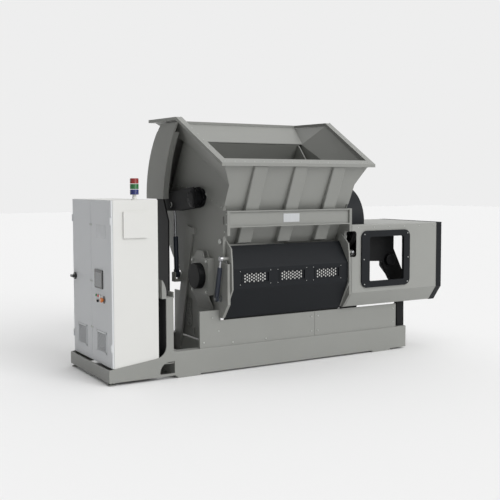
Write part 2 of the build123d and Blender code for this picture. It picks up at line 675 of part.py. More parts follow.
with BuildPart() as rotor_shaft:
    with BuildSketch(side(SHAFT_LEFT)):
        with Locations((ROTOR_Y, ROTOR_Z)):
            Circle(ROTOR_SHAFT_R)
    extrude(amount=SHAFT_RIGHT - SHAFT_LEFT)
    chamfer(rotor_shaft.edges(), 4)
finish(rotor_shaft.part, "rotor_shaft")

# ---------------------------------------------------------------- rotor bearings
# Square housings; the left one has a bracket on top and a slanting drip plate below.
HOUSING_SIZE = 480
HOUSING_DEPTH = 88

with BuildPart() as bearing_housings:
    for x in (LEFT_OUTER - HOUSING_DEPTH, RIGHT_OUTER):
        depth = HOUSING_DEPTH if x < 0 else 20
        with BuildSketch(side(x)):
            with Locations((ROTOR_Y, ROTOR_Z)):
                RectangleRounded(HOUSING_SIZE, HOUSING_SIZE, 18)
                Circle(ROTOR_SHAFT_R + RUNNING, mode=Mode.SUBTRACT)
        extrude(amount=depth)
    with BuildSketch(side(LEFT_OUTER - HOUSING_DEPTH)):
        with BuildLine():
            low_front = (ROTOR_Y - HOUSING_SIZE / 2, ROTOR_Z + HOUSING_SIZE / 2)
            Polyline((low_front[0] + 120, low_front[1]), (low_front[0] + 170, low_front[1] + 84),
                     (low_front[0] + 330, low_front[1] + 84), (low_front[0] + 400, low_front[1]),
                     close=True)
        make_face()
    extrude(amount=16)
    with BuildSketch(side(LEFT_OUTER - 20)):
        with BuildLine():
            Polyline((low_front[0] + 120, low_front[1]), (low_front[0] + 170, low_front[1] + 84),
                     (low_front[0] + 330, low_front[1] + 84), (low_front[0] + 400, low_front[1]),
                     close=True)
        make_face()
    extrude(amount=20)
    with BuildSketch(facing(ROTOR_Y - HOUSING_SIZE / 2 + 6)):
        with BuildLine():
            drip_top = ROTOR_Z - HOUSING_SIZE / 2
            Polyline((LEFT_OUTER - HOUSING_DEPTH, drip_top), (LEFT_OUTER, 772), (LEFT_OUTER, 784),
                     (LEFT_OUTER - HOUSING_DEPTH + 8, drip_top), close=True)
        make_face()
    extrude(amount=-(HOUSING_SIZE - 60))
finish(bearing_housings.part, "bearing_housings")

CAP_R = 168

with BuildPart() as bearing_cap:
    with BuildSketch(side(LEFT_OUTER - HOUSING_DEPTH - 88)):
        with Locations((ROTOR_Y, ROTOR_Z)):
            Circle(CAP_R)
    extrude(amount=88)
    fillet(bearing_cap.edges().sort_by(Axis.X)[0], 12)
finish(bearing_cap.part, "bearing_cap")

# ---------------------------------------------------------------- ram
# A segment-shaped box on two cheek plates; it swings on its shaft over the chamber floor.
RAM_WALL = 16
RAM_LEFT = LEFT_INNER + RAM_SIDE_GAP
RAM_RIGHT = RIGHT_INNER - RAM_SIDE_GAP
RAM_LOW = -20
RAM_HIGH = 48.3
face_high = (324, 2966)
face_low = (722, 2340)
CHEEK = 18
HUB_R = 110

with BuildPart() as ram_shell:
    with BuildSketch(side(RAM_LEFT)):
        with BuildLine():
            Line(face_high, face_low)
            face_low_r = hypot(face_low[0] - PIVOT_Y, face_low[1] - PIVOT_Z)
            face_low_angle = degrees(atan2(face_low[1] - PIVOT_Z, face_low[0] - PIVOT_Y))
            ThreePointArc(face_low, polar(face_low_r, (face_low_angle + RAM_LOW) / 2),
                          polar(face_low_r, RAM_LOW))
            Line(polar(face_low_r, RAM_LOW), polar(RAM_OUTER_R, RAM_LOW))
            ThreePointArc(polar(RAM_OUTER_R, RAM_LOW), polar(RAM_OUTER_R, 15), polar(RAM_OUTER_R, RAM_HIGH))
            Line(polar(RAM_OUTER_R, RAM_HIGH), face_high)
        make_face()
        offset(amount=-RAM_WALL, kind=Kind.INTERSECTION, mode=Mode.SUBTRACT)
    extrude(amount=RAM_RIGHT - RAM_LEFT)
    for x in (RAM_LEFT, RAM_RIGHT - CHEEK):
        with BuildSketch(side(x)):
            with BuildLine():
                Polyline((PIVOT_Y - 60, PIVOT_Z + 90), (face_high[0] - 8, face_high[1] - 6),
                         (face_low[0] - 10, face_low[1] + 2), polar(face_low_r - 6, RAM_LOW + 12),
                         (PIVOT_Y + 20, PIVOT_Z - 105), close=True)
            make_face()
            with Locations((PIVOT_Y, PIVOT_Z)):
                Circle(HUB_R)
        extrude(amount=CHEEK)
    with BuildSketch(side(RAM_LEFT)):
        with Locations((PIVOT_Y, PIVOT_Z)):
            Circle(PIVOT_R)
    extrude(amount=RAM_RIGHT - RAM_LEFT, mode=Mode.SUBTRACT)
finish(ram_shell.part, "ram_shell")

LEVER_LEFT = LEFT_OUTER - 149
LEVER_PLATE = 18
LEVER_GAP = 70
LEVER_PIN_R = 28
PIN_Y = 415
PIN_Z = 2117
lever_right = LEVER_LEFT + 2 * LEVER_PLATE + LEVER_GAP

# Two stub shafts, welded into the cheeks; the throat between them stays free.
STUB_INSIDE = 12

with BuildPart() as ram_shaft:
    for left, right in ((LEVER_LEFT - 12, RAM_LEFT + CHEEK + STUB_INSIDE),
                        (RAM_RIGHT - CHEEK - STUB_INSIDE, RIGHT_OUTER + 60)):
        with BuildSketch(side(left)):
            with Locations((PIVOT_Y, PIVOT_Z)):
                Circle(PIVOT_R)
        extrude(amount=right - left)
    chamfer(ram_shaft.edges().filter_by(GeomType.CIRCLE), 5)
finish(ram_shaft.part, "ram_shaft")

with BuildPart() as ram_lever:
    for x in (LEVER_LEFT, lever_right - LEVER_PLATE):
        with BuildSketch(side(x)) as lever_outline:
            with BuildLine():
                Polyline((PIVOT_Y - 20, PIVOT_Z + 140), (250, 2310), (690, 2278), (690, 2028),
                         (250, 2040), (PIVOT_Y - 60, PIVOT_Z - 130), (PIVOT_Y - 130, PIVOT_Z - 60),
                         (PIVOT_Y - 130, PIVOT_Z + 80), close=True)
            make_face()
            fillet(lever_outline.vertices(), 18)
            with Locations((PIVOT_Y, PIVOT_Z)):
                Circle(PIVOT_R, mode=Mode.SUBTRACT)
        extrude(amount=LEVER_PLATE)
    with BuildSketch(side(LEVER_LEFT + LEVER_PLATE)):
        with Locations((PIVOT_Y, PIVOT_Z)):
            Circle(115)
            Circle(PIVOT_R, mode=Mode.SUBTRACT)
        with Locations((672, 2153)):
            Rectangle(24, 210)
    extrude(amount=LEVER_GAP)
    with BuildSketch(side(LEVER_LEFT - 10)):
        with Locations((PIN_Y, PIN_Z)):
            Circle(LEVER_PIN_R)
    extrude(amount=10)
finish(ram_lever.part, "ram_lever")

FLANGE_R = 120

with BuildPart() as ram_bearing_flanges:
    for x in (LEFT_OUTER - 26, RIGHT_OUTER):
        with BuildSketch(side(x)):
            with Locations((PIVOT_Y, PIVOT_Z)):
                Circle(FLANGE_R)
                Circle(PIVOT_R + RUNNING, mode=Mode.SUBTRACT)
                with PolarLocations(96, 6):
                    Circle(8, mode=Mode.SUBTRACT)
        extrude(amount=26)
finish(ram_bearing_flanges.part, "ram_bearing_flanges")

# ---------------------------------------------------------------- ram cylinder
RAM_CYLINDER_X = LEVER_LEFT + LEVER_PLATE + LEVER_GAP / 2
CLEVIS_Y = 365
CLEVIS_Z = 1165
CLEVIS_PIN_R = 22
ram_cylinder_length = hypot(PIN_Y - CLEVIS_Y, PIN_Z - CLEVIS_Z)
ram_cylinder_dir = Vector(0, PIN_Y - CLEVIS_Y, PIN_Z - CLEVIS_Z).normalized()


def along_cylinder(x, foot_y, foot_z, direction, distance):
    """Plane square to a cylinder's axis at a distance from its lower pin."""
    origin = Vector(x, foot_y, foot_z) + direction * distance
    return Plane(origin=origin, x_dir=(1, 0, 0), z_dir=direction)


def ram_plane(distance):
    """Plane square to the ram cylinder at a distance from its lower pin."""
    return along_cylinder(RAM_CYLINDER_X, CLEVIS_Y, CLEVIS_Z, ram_cylinder_dir, distance)


with BuildPart() as ram_cylinder_barrel:
    with BuildSketch(ram_plane(62)):
        Circle(33)
    extrude(amount=458)
    with BuildSketch(side(RAM_CYLINDER_X - 30)):
        with Locations((CLEVIS_Y, CLEVIS_Z)):
            Circle(44)
    extrude(amount=60)
    with BuildSketch(ram_plane(20)):
        Rectangle(60, 60)
    extrude(amount=50)
    with BuildSketch(side(RAM_CYLINDER_X - 40)):
        with Locations((CLEVIS_Y, CLEVIS_Z)):
            Circle(CLEVIS_PIN_R + RUNNING)
    extrude(amount=80, mode=Mode.SUBTRACT)
    with BuildSketch(ram_plane(78)):
        Circle(27 + RUNNING)
    extrude(amount=412, mode=Mode.SUBTRACT)
    with BuildSketch(ram_plane(480)):
        Circle(20 + RUNNING)
    extrude(amount=60, mode=Mode.SUBTRACT)
finish(ram_cylinder_barrel.part, "ram_cylinder_barrel")

with BuildPart() as ram_cylinder_rod:
    with BuildSketch(ram_plane(428)):
        Circle(27)
    extrude(amount=34)
    with BuildSketch(ram_plane(440)):
        Circle(20)
    extrude(amount=ram_cylinder_length - 440)
    with BuildSketch(side(RAM_CYLINDER_X - 33)):
        with Locations((PIN_Y, PIN_Z)):
            Circle(44)
    extrude(amount=66)
finish(ram_cylinder_rod.part, "ram_cylinder_rod")

with BuildPart() as ram_cylinder_bracket:
    for x in (RAM_CYLINDER_X - 50, RAM_CYLINDER_X + 32):
        with BuildSketch(side(x)):
            with Locations((CLEVIS_Y + 4, CLEVIS_Z - 25)):
                RectangleRounded(96, 120, 20)
        extrude(amount=18)
    with BuildSketch(side(RAM_CYLINDER_X - 50)):
        with Locations((CLEVIS_Y + 4, CLEVIS_Z - 80)):
            Rectangle(96, 34)
    extrude(amount=LEFT_OUTER - 4 - LEG_THICKNESS - RAM_CYLINDER_X + 50)
    with BuildSketch(side(RAM_CYLINDER_X - 60)):
        with Locations((CLEVIS_Y, CLEVIS_Z)):
            Circle(CLEVIS_PIN_R)
    extrude(amount=120)
finish(ram_cylinder_bracket.part, "ram_cylinder_bracket")

# ---------------------------------------------------------------- front flap
# Bent sheet with three windows; end plates (ears) carry hinge pins and cylinder pins.
FLAP_LEFT = LEFT_INNER + 24
FLAP_RIGHT = RIGHT_INNER - 24
WINDOW_WIDTH = 390
WINDOW_HEIGHT = 118
WINDOW_PITCH = 560
WINDOW_Z = 1212
flap_line = ((-692, 1612), (FRONT, 1335), (FRONT, 1075), (-700, 692))

with BuildPart() as flap_sheet:
    with BuildSketch(side(FLAP_LEFT)):
        with BuildLine():
            FilletPolyline(*flap_line, (-668, 680), radius=8)
            offset(amount=FLAP_THICKNESS, side=Side.LEFT)
        make_face()
    extrude(amount=FLAP_RIGHT - FLAP_LEFT)
    with BuildSketch(facing(FRONT - 40)):
        with Locations((CHAMBER_MIDDLE, WINDOW_Z)):
            with GridLocations(WINDOW_PITCH, 1, 3, 1):
                RectangleRounded(WINDOW_WIDTH, WINDOW_HEIGHT, 10)
    extrude(amount=-80, mode=Mode.SUBTRACT)
finish(flap_sheet.part, "flap_sheet")

MESH_HOLE_R = 13

with BuildPart() as flap_mesh:
    with BuildSketch(facing(FRONT + FLAP_THICKNESS)):
        with Locations((CHAMBER_MIDDLE, WINDOW_Z)):
            with GridLocations(WINDOW_PITCH, 1, 3, 1):
                Rectangle(WINDOW_WIDTH + 60, WINDOW_HEIGHT + 50)
            with GridLocations(WINDOW_PITCH, 1, 3, 1):
                with HexLocations(19, 10, 3):
                    Circle(MESH_HOLE_R, mode=Mode.SUBTRACT)
    extrude(amount=-6)
finish(flap_mesh.part, "flap_mesh")

EAR = 18
CYLINDER_PIN = (-830, 1465)
CYLINDER_FOOT = (-710, 946)
FLAP_PIN_R = 20
LEFT_CYLINDER_X = LEFT_OUTER - 62
RIGHT_CYLINDER_X = RIGHT_OUTER + 45
ear_points = ((-735, 1712), (-700, 1712), (-660, 1640), (-650, 1600), (-845, 1330), (-845, 1085),
              (-655, 705), (-700, 705), (-788, 850), (FRONT - 35, 1075), (FRONT - 25, 1400),
              (FRONT - 2, 1588))

with BuildPart() as flap_ears:
    for x, pin_x, pin_end in ((FLAP_LEFT - EAR, LEFT_OUTER - 14, LEFT_CYLINDER_X + 21),
                              (FLAP_RIGHT, RIGHT_OUTER + 14, RIGHT_CYLINDER_X - 21)):
        with BuildSketch(side(x)):
            with BuildLine():
                Polyline(*ear_points, close=True)
            make_face()
            with Locations(CYLINDER_PIN):
                Circle(45)
        extrude(amount=EAR)
        inner_x = x if x < 0 else x + EAR
        with BuildSketch(side(min(inner_x, pin_x))):
            with Locations((HINGE_Y, HINGE_Z)):
                Circle(HINGE_PIN_R)
        extrude(amount=abs(inner_x - pin_x))
        with BuildSketch(side(min(inner_x, pin_end))):
            with Locations(CYLINDER_PIN):
                Circle(FLAP_PIN_R)
        extrude(amount=abs(inner_x - pin_end))
finish(flap_ears.part, "flap_ears")

flap_cylinder_length = hypot(CYLINDER_PIN[0] - CYLINDER_FOOT[0], CYLINDER_PIN[1] - CYLINDER_FOOT[1])
flap_cylinder_dir = Vector(0, CYLINDER_PIN[0] - CYLINDER_FOOT[0],
                           CYLINDER_PIN[1] - CYLINDER_FOOT[1]).normalized()
FOOT_PIN_R = 16


def flap_plane(x, distance):
    """Plane square to a flap cylinder at a distance from its lower pin."""
    return along_cylinder(x, CYLINDER_FOOT[0], CYLINDER_FOOT[1], flap_cylinder_dir, distance)


with BuildPart() as flap_cylinder_barrels:
    for x in (LEFT_CYLINDER_X, RIGHT_CYLINDER_X):
        with BuildSketch(flap_plane(x, 36)):
            Circle(30)
        extrude(amount=380)
        with BuildSketch(side(x - 18)):
            with Locations(CYLINDER_FOOT):
                Circle(32)
        extrude(amount=36)
        with BuildSketch(flap_plane(x, 14)):
            Rectangle(36, 40)
        extrude(amount=30)
        with BuildSketch(side(x - 30)):
            with Locations(CYLINDER_FOOT):
                Circle(FOOT_PIN_R + RUNNING)
        extrude(amount=60, mode=Mode.SUBTRACT)
        with BuildSketch(flap_plane(x, 52)):
            Circle(24 + RUNNING)
        extrude(amount=340, mode=Mode.SUBTRACT)
        with BuildSketch(flap_plane(x, 380)):
            Circle(15 + RUNNING)
        extrude(amount=50, mode=Mode.SUBTRACT)
finish(flap_cylinder_barrels.part, "flap_cylinder_barrels")

with BuildPart() as flap_cylinder_rods:
    for x in (LEFT_CYLINDER_X, RIGHT_CYLINDER_X):
        with BuildSketch(flap_plane(x, 56)):
            Circle(24)
        extrude(amount=26)
        with BuildSketch(flap_plane(x, 70)):
            Circle(15)
        extrude(amount=flap_cylinder_length - 70)
        with BuildSketch(side(x - 18)):
            with Locations(CYLINDER_PIN):
                Circle(32)
        extrude(amount=36)
finish(flap_cylinder_rods.part, "flap_cylinder_rods")

with BuildPart() as flap_cylinder_pins:
    for x, length in ((LEFT_CYLINDER_X - 26, LEFT_OUTER - LEFT_CYLINDER_X + 26),
                      (RIGHT_OUTER, RIGHT_CYLINDER_X - RIGHT_OUTER + 26)):
        with BuildSketch(side(x)):
            with Locations(CYLINDER_FOOT):
                Circle(FOOT_PIN_R)
        extrude(amount=length)
    for x, length in ((LEFT_OUTER - 28, 28), (RIGHT_OUTER, 11)):
        with BuildSketch(side(x)):
            with Locations(CYLINDER_FOOT):
                Circle(40)
        extrude(amount=length)
finish(flap_cylinder_pins.part, "flap_cylinder_pins")

# ---------------------------------------------------------------- belt guard
# Folded sheet box with a chamfered lower edge, a framed window and a dark end cap.
GUARD_LEFT = RIGHT_OUTER + 2
WINDOW_LEFT = 1146
WINDOW_RIGHT = 1760
WINDOW_LOW = 1050
WINDOW_HIGH = 1668
guard_line = ((GUARD_REAR, GUARD_TOP), (FRONT, GUARD_TOP), (FRONT, GUARD_CHAMFER_Z),
              (GUARD_CHAMFER_Y, GUARD_BOTTOM), (-100, GUARD_BOTTOM))
HOOD_RIGHT = 1140
HOOD_R = 490
HOOD_Z = 1882
CONSOLE_Y = -650
CONSOLE_THICKNESS = 60

with BuildPart() as guard_box:
    with BuildSketch(side(GUARD_LEFT)):
        with BuildLine():
            FilletPolyline(*guard_line, radius=14)
            offset(amount=GUARD_WALL, side=Side.LEFT)
        make_face()
    extrude(amount=GUARD_RIGHT - GUARD_LEFT)
    with BuildSketch(facing(FRONT - 20)):
        with Locations(((WINDOW_LEFT + WINDOW_RIGHT) / 2, (WINDOW_LOW + WINDOW_HIGH) / 2)):
            RectangleRounded(WINDOW_RIGHT - WINDOW_LEFT + 30, WINDOW_HIGH - WINDOW_LOW + 30, 40)
    extrude(amount=-40, mode=Mode.SUBTRACT)
    with BuildSketch(facing(FRONT - 20)):
        with Locations((850, (NOTCH_LOW + NOTCH_HIGH) / 2)):
            RectangleRounded(158, NOTCH_HIGH - NOTCH_LOW, 36)
    extrude(amount=-40, mode=Mode.SUBTRACT)
    with BuildSketch(Plane.XY.offset(GUARD_TOP - 20)):
        with Locations(((GUARD_LEFT + HOOD_RIGHT) / 2, ROTOR_Y)):
            Rectangle(HOOD_RIGHT - GUARD_LEFT + 8, 2 * HOOD_R - 16)
    extrude(amount=40, mode=Mode.SUBTRACT)
    with BuildSketch(Plane.XY.offset(GUARD_BOTTOM - 10)):
        with Locations((1928, CONSOLE_Y + CONSOLE_THICKNESS / 2)):
            Rectangle(146, CONSOLE_THICKNESS + 20)
    extrude(amount=30, mode=Mode.SUBTRACT)
finish(guard_box.part, "guard_box")

with BuildPart() as guard_window_frame:
    with BuildSketch(facing(FRONT)):
        with Locations((1440, 1359)):
            RectangleRounded(867, 786, 95)
        with Locations(((WINDOW_LEFT + WINDOW_RIGHT) / 2, (WINDOW_LOW + WINDOW_HIGH) / 2)):
            RectangleRounded(WINDOW_RIGHT - WINDOW_LEFT, WINDOW_HIGH - WINDOW_LOW, 28, mode=Mode.SUBTRACT)
    extrude(amount=22)
    fillet(guard_window_frame.faces().sort_by(Axis.Y)[0].outer_wire().edges(), 6)
    with BuildSketch(facing(FRONT)):
        with Locations(((WINDOW_LEFT + WINDOW_RIGHT) / 2, (WINDOW_LOW + WINDOW_HIGH) / 2)):
            RectangleRounded(WINDOW_RIGHT - WINDOW_LEFT + 26, WINDOW_HIGH - WINDOW_LOW + 26, 38)
            RectangleRounded(WINDOW_RIGHT - WINDOW_LEFT, WINDOW_HIGH - WINDOW_LOW, 28, mode=Mode.SUBTRACT)
    extrude(amount=-24)
finish(guard_window_frame.part, "guard_window_frame")

END_RIGHT = 2486

with BuildPart() as guard_end_trim:
    with BuildSketch(side(GUARD_RIGHT)):
        with BuildLine():
            Polyline((GUARD_REAR, GUARD_TOP + 2), (FRONT - 4, GUARD_TOP + 2), (FRONT - 4, GUARD_CHAMFER_Z),
                     (GUARD_CHAMFER_Y - 2, GUARD_BOTTOM - 4), (-100, GUARD_BOTTOM - 4),
                     (GUARD_REAR, 1100), close=True)
        make_face()
    extrude(amount=END_RIGHT - GUARD_RIGHT)
    with BuildSketch(side(GUARD_RIGHT)):
        with BuildLine():
            Polyline((GUARD_REAR - 14, GUARD_TOP - 12), (FRONT + 10, GUARD_TOP - 12),
                     (FRONT + 10, GUARD_CHAMFER_Z + 4), (GUARD_CHAMFER_Y + 4, GUARD_BOTTOM + 10),
                     (-106, GUARD_BOTTOM + 10), (GUARD_REAR - 14, 1104), close=True)
        make_face()
    extrude(amount=END_RIGHT - GUARD_RIGHT, mode=Mode.SUBTRACT)
finish(guard_end_trim.part, "guard_end_trim")

with BuildPart() as belt_hood:
    with BuildSketch(side(GUARD_LEFT)):
        with Locations((ROTOR_Y, HOOD_Z)):
            Circle(HOOD_R)
        with Locations((ROTOR_Y, GUARD_TOP - HOOD_R)):
            Rectangle(3 * HOOD_R, 2 * HOOD_R, mode=Mode.SUBTRACT)
    extrude(amount=HOOD_RIGHT - GUARD_LEFT)
    fillet(belt_hood.edges().filter_by(GeomType.CIRCLE).sort_by(Axis.X)[-1], 7)
    with BuildSketch(side(GUARD_LEFT)):
        with Locations((ROTOR_Y, HOOD_Z)):
            Circle(HOOD_R - GUARD_WALL)
        with Locations((ROTOR_Y, GUARD_TOP - HOOD_R)):
            Rectangle(3 * HOOD_R, 2 * HOOD_R, mode=Mode.SUBTRACT)
    extrude(amount=HOOD_RIGHT - GUARD_WALL - GUARD_LEFT, mode=Mode.SUBTRACT)
finish(belt_hood.part, "belt_hood")

# Console that carries the drive: a block, a slanting arm and a post on the front rail.
BOSS_R = 84

with BuildPart() as motor_console:
    with BuildSketch(facing(CONSOLE_Y)) as console_outline:
        with BuildLine():
            Polyline((1130, 1780), (1794, 1780), (1792, 1463), (1985, 1085), (1992, BASE_TOP),
                     (1865, BASE_TOP), (1860, 860), (1722, 1037), (1573, 1292), (1130, 1312), close=True)
        make_face()
        fillet(console_outline.vertices().sort_by(Axis.Y)[2:], 26)
    extrude(amount=-CONSOLE_THICKNESS)
    with BuildSketch(facing(CONSOLE_Y)):
        with Locations((1708, 1311)):
            Circle(BOSS_R)
    extrude(amount=50)
    fillet(motor_console.faces().sort_by(Axis.Y)[0].edges(), 10)
    with BuildSketch(facing(CONSOLE_Y + CONSOLE_THICKNESS)):
        with Locations((1330, 1560)):
            Rectangle(380, 300)
    extrude(amount=-330)
finish(motor_console.part, "motor_console")

# ---------------------------------------------------------------- drive
GEARBOX_LEFT = RIGHT_OUTER + 22
GEARBOX_RIGHT = 1000
JACK_R = 40
PULLEY_LEFT = 1015
PULLEY_RIGHT = 1115
PULLEY_R = 420
MOTOR_PULLEY_R = 130
MOTOR_Y = 240
MOTOR_Z = 1130
MOTOR_R = 215

with BuildPart() as gearbox:
    with BuildSketch(side(GEARBOX_LEFT)):
        with BuildLine():
            Line((ROTOR_Y - 200, ROTOR_Z), (ROTOR_Y - 150, HOOD_Z))
            ThreePointArc((ROTOR_Y - 150, HOOD_Z), (ROTOR_Y, HOOD_Z + 150), (ROTOR_Y + 150, HOOD_Z))
            Line((ROTOR_Y + 150, HOOD_Z), (ROTOR_Y + 200, ROTOR_Z))
            ThreePointArc((ROTOR_Y + 200, ROTOR_Z), (ROTOR_Y, ROTOR_Z - 200), (ROTOR_Y - 200, ROTOR_Z))
        make_face()
    extrude(amount=GEARBOX_RIGHT - GEARBOX_LEFT)
    fillet(gearbox.faces().sort_by(Axis.X)[-1].edges(), 10)
    with BuildSketch(side(GEARBOX_LEFT)):
        with Locations((ROTOR_Y, ROTOR_Z)):
            Circle(ROTOR_SHAFT_R + RUNNING)
    extrude(amount=SHAFT_RIGHT - GEARBOX_LEFT + 4, mode=Mode.SUBTRACT)
    with BuildSketch(side(GEARBOX_RIGHT - 80)):
        with Locations((ROTOR_Y, HOOD_Z)):
            Circle(JACK_R + RUNNING)
    extrude(amount=90, mode=Mode.SUBTRACT)
finish(gearbox.part, "gearbox")


def grooved_pulley(y, z, radius, bore, left, right, grooves=5):
    """Cast pulley with V-grooves in its rim."""
    pitch = (right - left) / grooves
    rim = [(left, y + radius)]
    for k in range(grooves):
        start = left + k * pitch
        rim += [(start + 3, y + radius), (start + pitch / 2 - 2, y + radius - 10),
                (start + pitch / 2 + 2, y + radius - 10), (start + pitch - 3, y + radius)]
    rim.append((right, y + radius))
    with BuildPart() as pulley:
        with BuildSketch(Plane.XY):
            with BuildLine():
                Polyline((left, y + bore), *rim, (right, y + bore), close=True)
            make_face()
        revolve(axis=Axis((0, y, 0), (1, 0, 0)))
    return pulley.part.moved(Location((0, 0, z)))


with BuildPart() as jack_end:
    with BuildSketch(side(GEARBOX_RIGHT - 78)):
        with Locations((ROTOR_Y, HOOD_Z)):
            Circle(JACK_R)
    extrude(amount=PULLEY_RIGHT - GEARBOX_RIGHT + 84)
    add(grooved_pulley(ROTOR_Y, HOOD_Z, PULLEY_R, JACK_R - 1, PULLEY_LEFT, PULLEY_RIGHT))
    with BuildSketch(side(PULLEY_LEFT)):
        with Locations((ROTOR_Y, HOOD_Z)):
            with PolarLocations(240, 5):
                Circle(90)
    extrude(amount=PULLEY_RIGHT - PULLEY_LEFT, mode=Mode.SUBTRACT)
finish(jack_end.part, "driven_pulley")

MOTOR_LEFT = PULLEY_RIGHT + 30
MOTOR_RIGHT = 1780
MOTOR_SHAFT_R = 30

with BuildPart() as motor_pulley:
    add(grooved_pulley(MOTOR_Y, MOTOR_Z, MOTOR_PULLEY_R, MOTOR_SHAFT_R - 1, PULLEY_LEFT, PULLEY_RIGHT))
    with BuildSketch(side(PULLEY_LEFT - 4)):
        with Locations((MOTOR_Y, MOTOR_Z)):
            Circle(MOTOR_SHAFT_R)
    extrude(amount=MOTOR_LEFT + 60 - PULLEY_LEFT + 4)
finish(motor_pulley.part, "motor_pulley")

with BuildPart() as motor:
    with BuildSketch(side(MOTOR_LEFT)):
        with Locations((MOTOR_Y, MOTOR_Z)):
            Circle(MOTOR_R)
    extrude(amount=MOTOR_RIGHT - MOTOR_LEFT)
    chamfer(motor.edges().filter_by(GeomType.CIRCLE), 20)
    with BuildSketch(side(MOTOR_LEFT)):
        with Locations((MOTOR_Y, MOTOR_Z)):
            Circle(MOTOR_SHAFT_R + RUNNING)
    extrude(amount=64, mode=Mode.SUBTRACT)
    with BuildSketch(Plane.XY.offset(MOTOR_Z + MOTOR_R - 30)):
        with Locations((1400, MOTOR_Y)):
            Rectangle(180, 150)
    extrude(amount=110)
    with BuildSketch(side(MOTOR_LEFT + 60)):
        with Locations((MOTOR_Y, BASE_TOP + (MOTOR_Z - BASE_TOP) / 2 - 20)):
            Rectangle(360, MOTOR_Z - BASE_TOP - 40)
    extrude(amount=60)
    with BuildSketch(side(MOTOR_RIGHT - 160)):
        with Locations((MOTOR_Y, BASE_TOP + (MOTOR_Z - BASE_TOP) / 2 - 20)):
            Rectangle(360, MOTOR_Z - BASE_TOP - 40)
    extrude(amount=60)
finish(motor.part, "motor")

# Open loop of belts: two tangent runs and two wraps, a hair clear of the pulleys.
BELT_CLEAR = 0.6
BELT_THICKNESS = 14
belt_distance = hypot(MOTOR_Y - ROTOR_Y, MOTOR_Z - HOOD_Z)
belt_heading = degrees(atan2(MOTOR_Z - HOOD_Z, MOTOR_Y - ROTOR_Y))


def belt_outline(growth):
    """Closed belt outline round both pulleys, grown outwards."""
    big = PULLEY_R + growth
    small = MOTOR_PULLEY_R + growth
    spread = degrees(atan2(sqrt(belt_distance ** 2 - (big - small) ** 2), big - small))
    big_centre = (ROTOR_Y, HOOD_Z)
    small_centre = (MOTOR_Y, MOTOR_Z)
    a = polar(big, belt_heading + spread, big_centre)
    b = polar(small, belt_heading + spread, small_centre)
    c = polar(small, belt_heading - spread, small_centre)
    d = polar(big, belt_heading - spread, big_centre)
    Line(a, b)
    ThreePointArc(b, polar(small, belt_heading, small_centre), c)
    Line(c, d)
    ThreePointArc(d, polar(big, belt_heading + 180, big_centre), a)


with BuildPart() as drive_belts:
    for k in range(5):
        pitch = (PULLEY_RIGHT - PULLEY_LEFT) / 5
        with BuildSketch(side(PULLEY_LEFT + k * pitch + 2)):
            with BuildLine():
                belt_outline(BELT_CLEAR + BELT_THICKNESS)
            make_face()
            with BuildLine():
                belt_outline(BELT_CLEAR)
            make_face(mode=Mode.SUBTRACT)
        extrude(amount=pitch - 4)
finish(drive_belts.part, "drive_belts")

# ---------------------------------------------------------------- control cabinet
SHELL_WALL = 10
shell_left = CABINET_LEFT + DOOR_THICKNESS
cabinet_depth = CABINET_REAR - CABINET_FRONT
cabinet_middle_y = (CABINET_FRONT + CABINET_REAR) / 2
cabinet_height = CABINET_TOP - CABINET_BOTTOM

with BuildPart() as cabinet_shell:
    with BuildSketch(side(shell_left)):
        with Locations((cabinet_middle_y, CABINET_BOTTOM + cabinet_height / 2)):
            Rectangle(cabinet_depth, cabinet_height)
    extrude(amount=CABINET_RIGHT - shell_left)
    with BuildSketch(side(shell_left)):
        with Locations((cabinet_middle_y, CABINET_BOTTOM + cabinet_height / 2)):
            Rectangle(cabinet_depth - 2 * SHELL_WALL, cabinet_height - 2 * SHELL_WALL)
    extrude(amount=CABINET_RIGHT - shell_left - SHELL_WALL, mode=Mode.SUBTRACT)
    with BuildSketch(side(shell_left + 20)):
        with Locations((cabinet_middle_y, CABINET_BOTTOM + cabinet_height / 2)):
            Rectangle(40, cabinet_height - 2 * SHELL_WALL)
    extrude(amount=40)
    with BuildSketch(facing(CABINET_FRONT)):
        with Locations((-2238, 1916)):
            RectangleRounded(306, 318, 6)
    extrude(amount=22)
finish(cabinet_shell.part, "cabinet_shell")

DOOR_GAP = 3
DOOR_HINGE_R = 8
door_low = CABINET_BOTTOM + 4
door_high = CABINET_TOP - 2
front_door_middle = (CABINET_FRONT + cabinet_middle_y) / 2
rear_door_middle = (CABINET_REAR + cabinet_middle_y) / 2
GRILLE_SIZE = (330, 260)
GRILLE_Z = 480
PANEL_Y = -274
PANEL_Z = 1244


def cabinet_door(middle, hinge_side):
    """A door leaf with its ventilation opening and its two hinge barrels."""
    width = cabinet_depth / 2 - 2 * DOOR_GAP
    hinge_y = middle + hinge_side * (cabinet_depth / 4 - DOOR_GAP - DOOR_HINGE_R)
    with BuildPart() as door:
        with BuildSketch(side(CABINET_LEFT)):
            with Locations((middle, (door_low + door_high) / 2)):
                Rectangle(width, door_high - door_low)
            with Locations((middle, GRILLE_Z)):
                Rectangle(GRILLE_SIZE[0] - 40, GRILLE_SIZE[1] - 40, mode=Mode.SUBTRACT)
        extrude(amount=DOOR_THICKNESS - 2)
        fillet(door.edges().filter_by(Axis.Z).group_by(Axis.X)[0], 4)
        with BuildSketch(Plane.XY.offset(door_low + 200)):
            with Locations((CABINET_LEFT - 6, hinge_y)):
                Circle(DOOR_HINGE_R)
        extrude(amount=90)
        with BuildSketch(Plane.XY.offset(door_high - 290)):
            with Locations((CABINET_LEFT - 6, hinge_y)):
                Circle(DOOR_HINGE_R)
        extrude(amount=90)
    return door.part


finish(cabinet_door(front_door_middle, -1), "cabinet_door_front")
finish(cabinet_door(rear_door_middle, 1), "cabinet_door_rear")

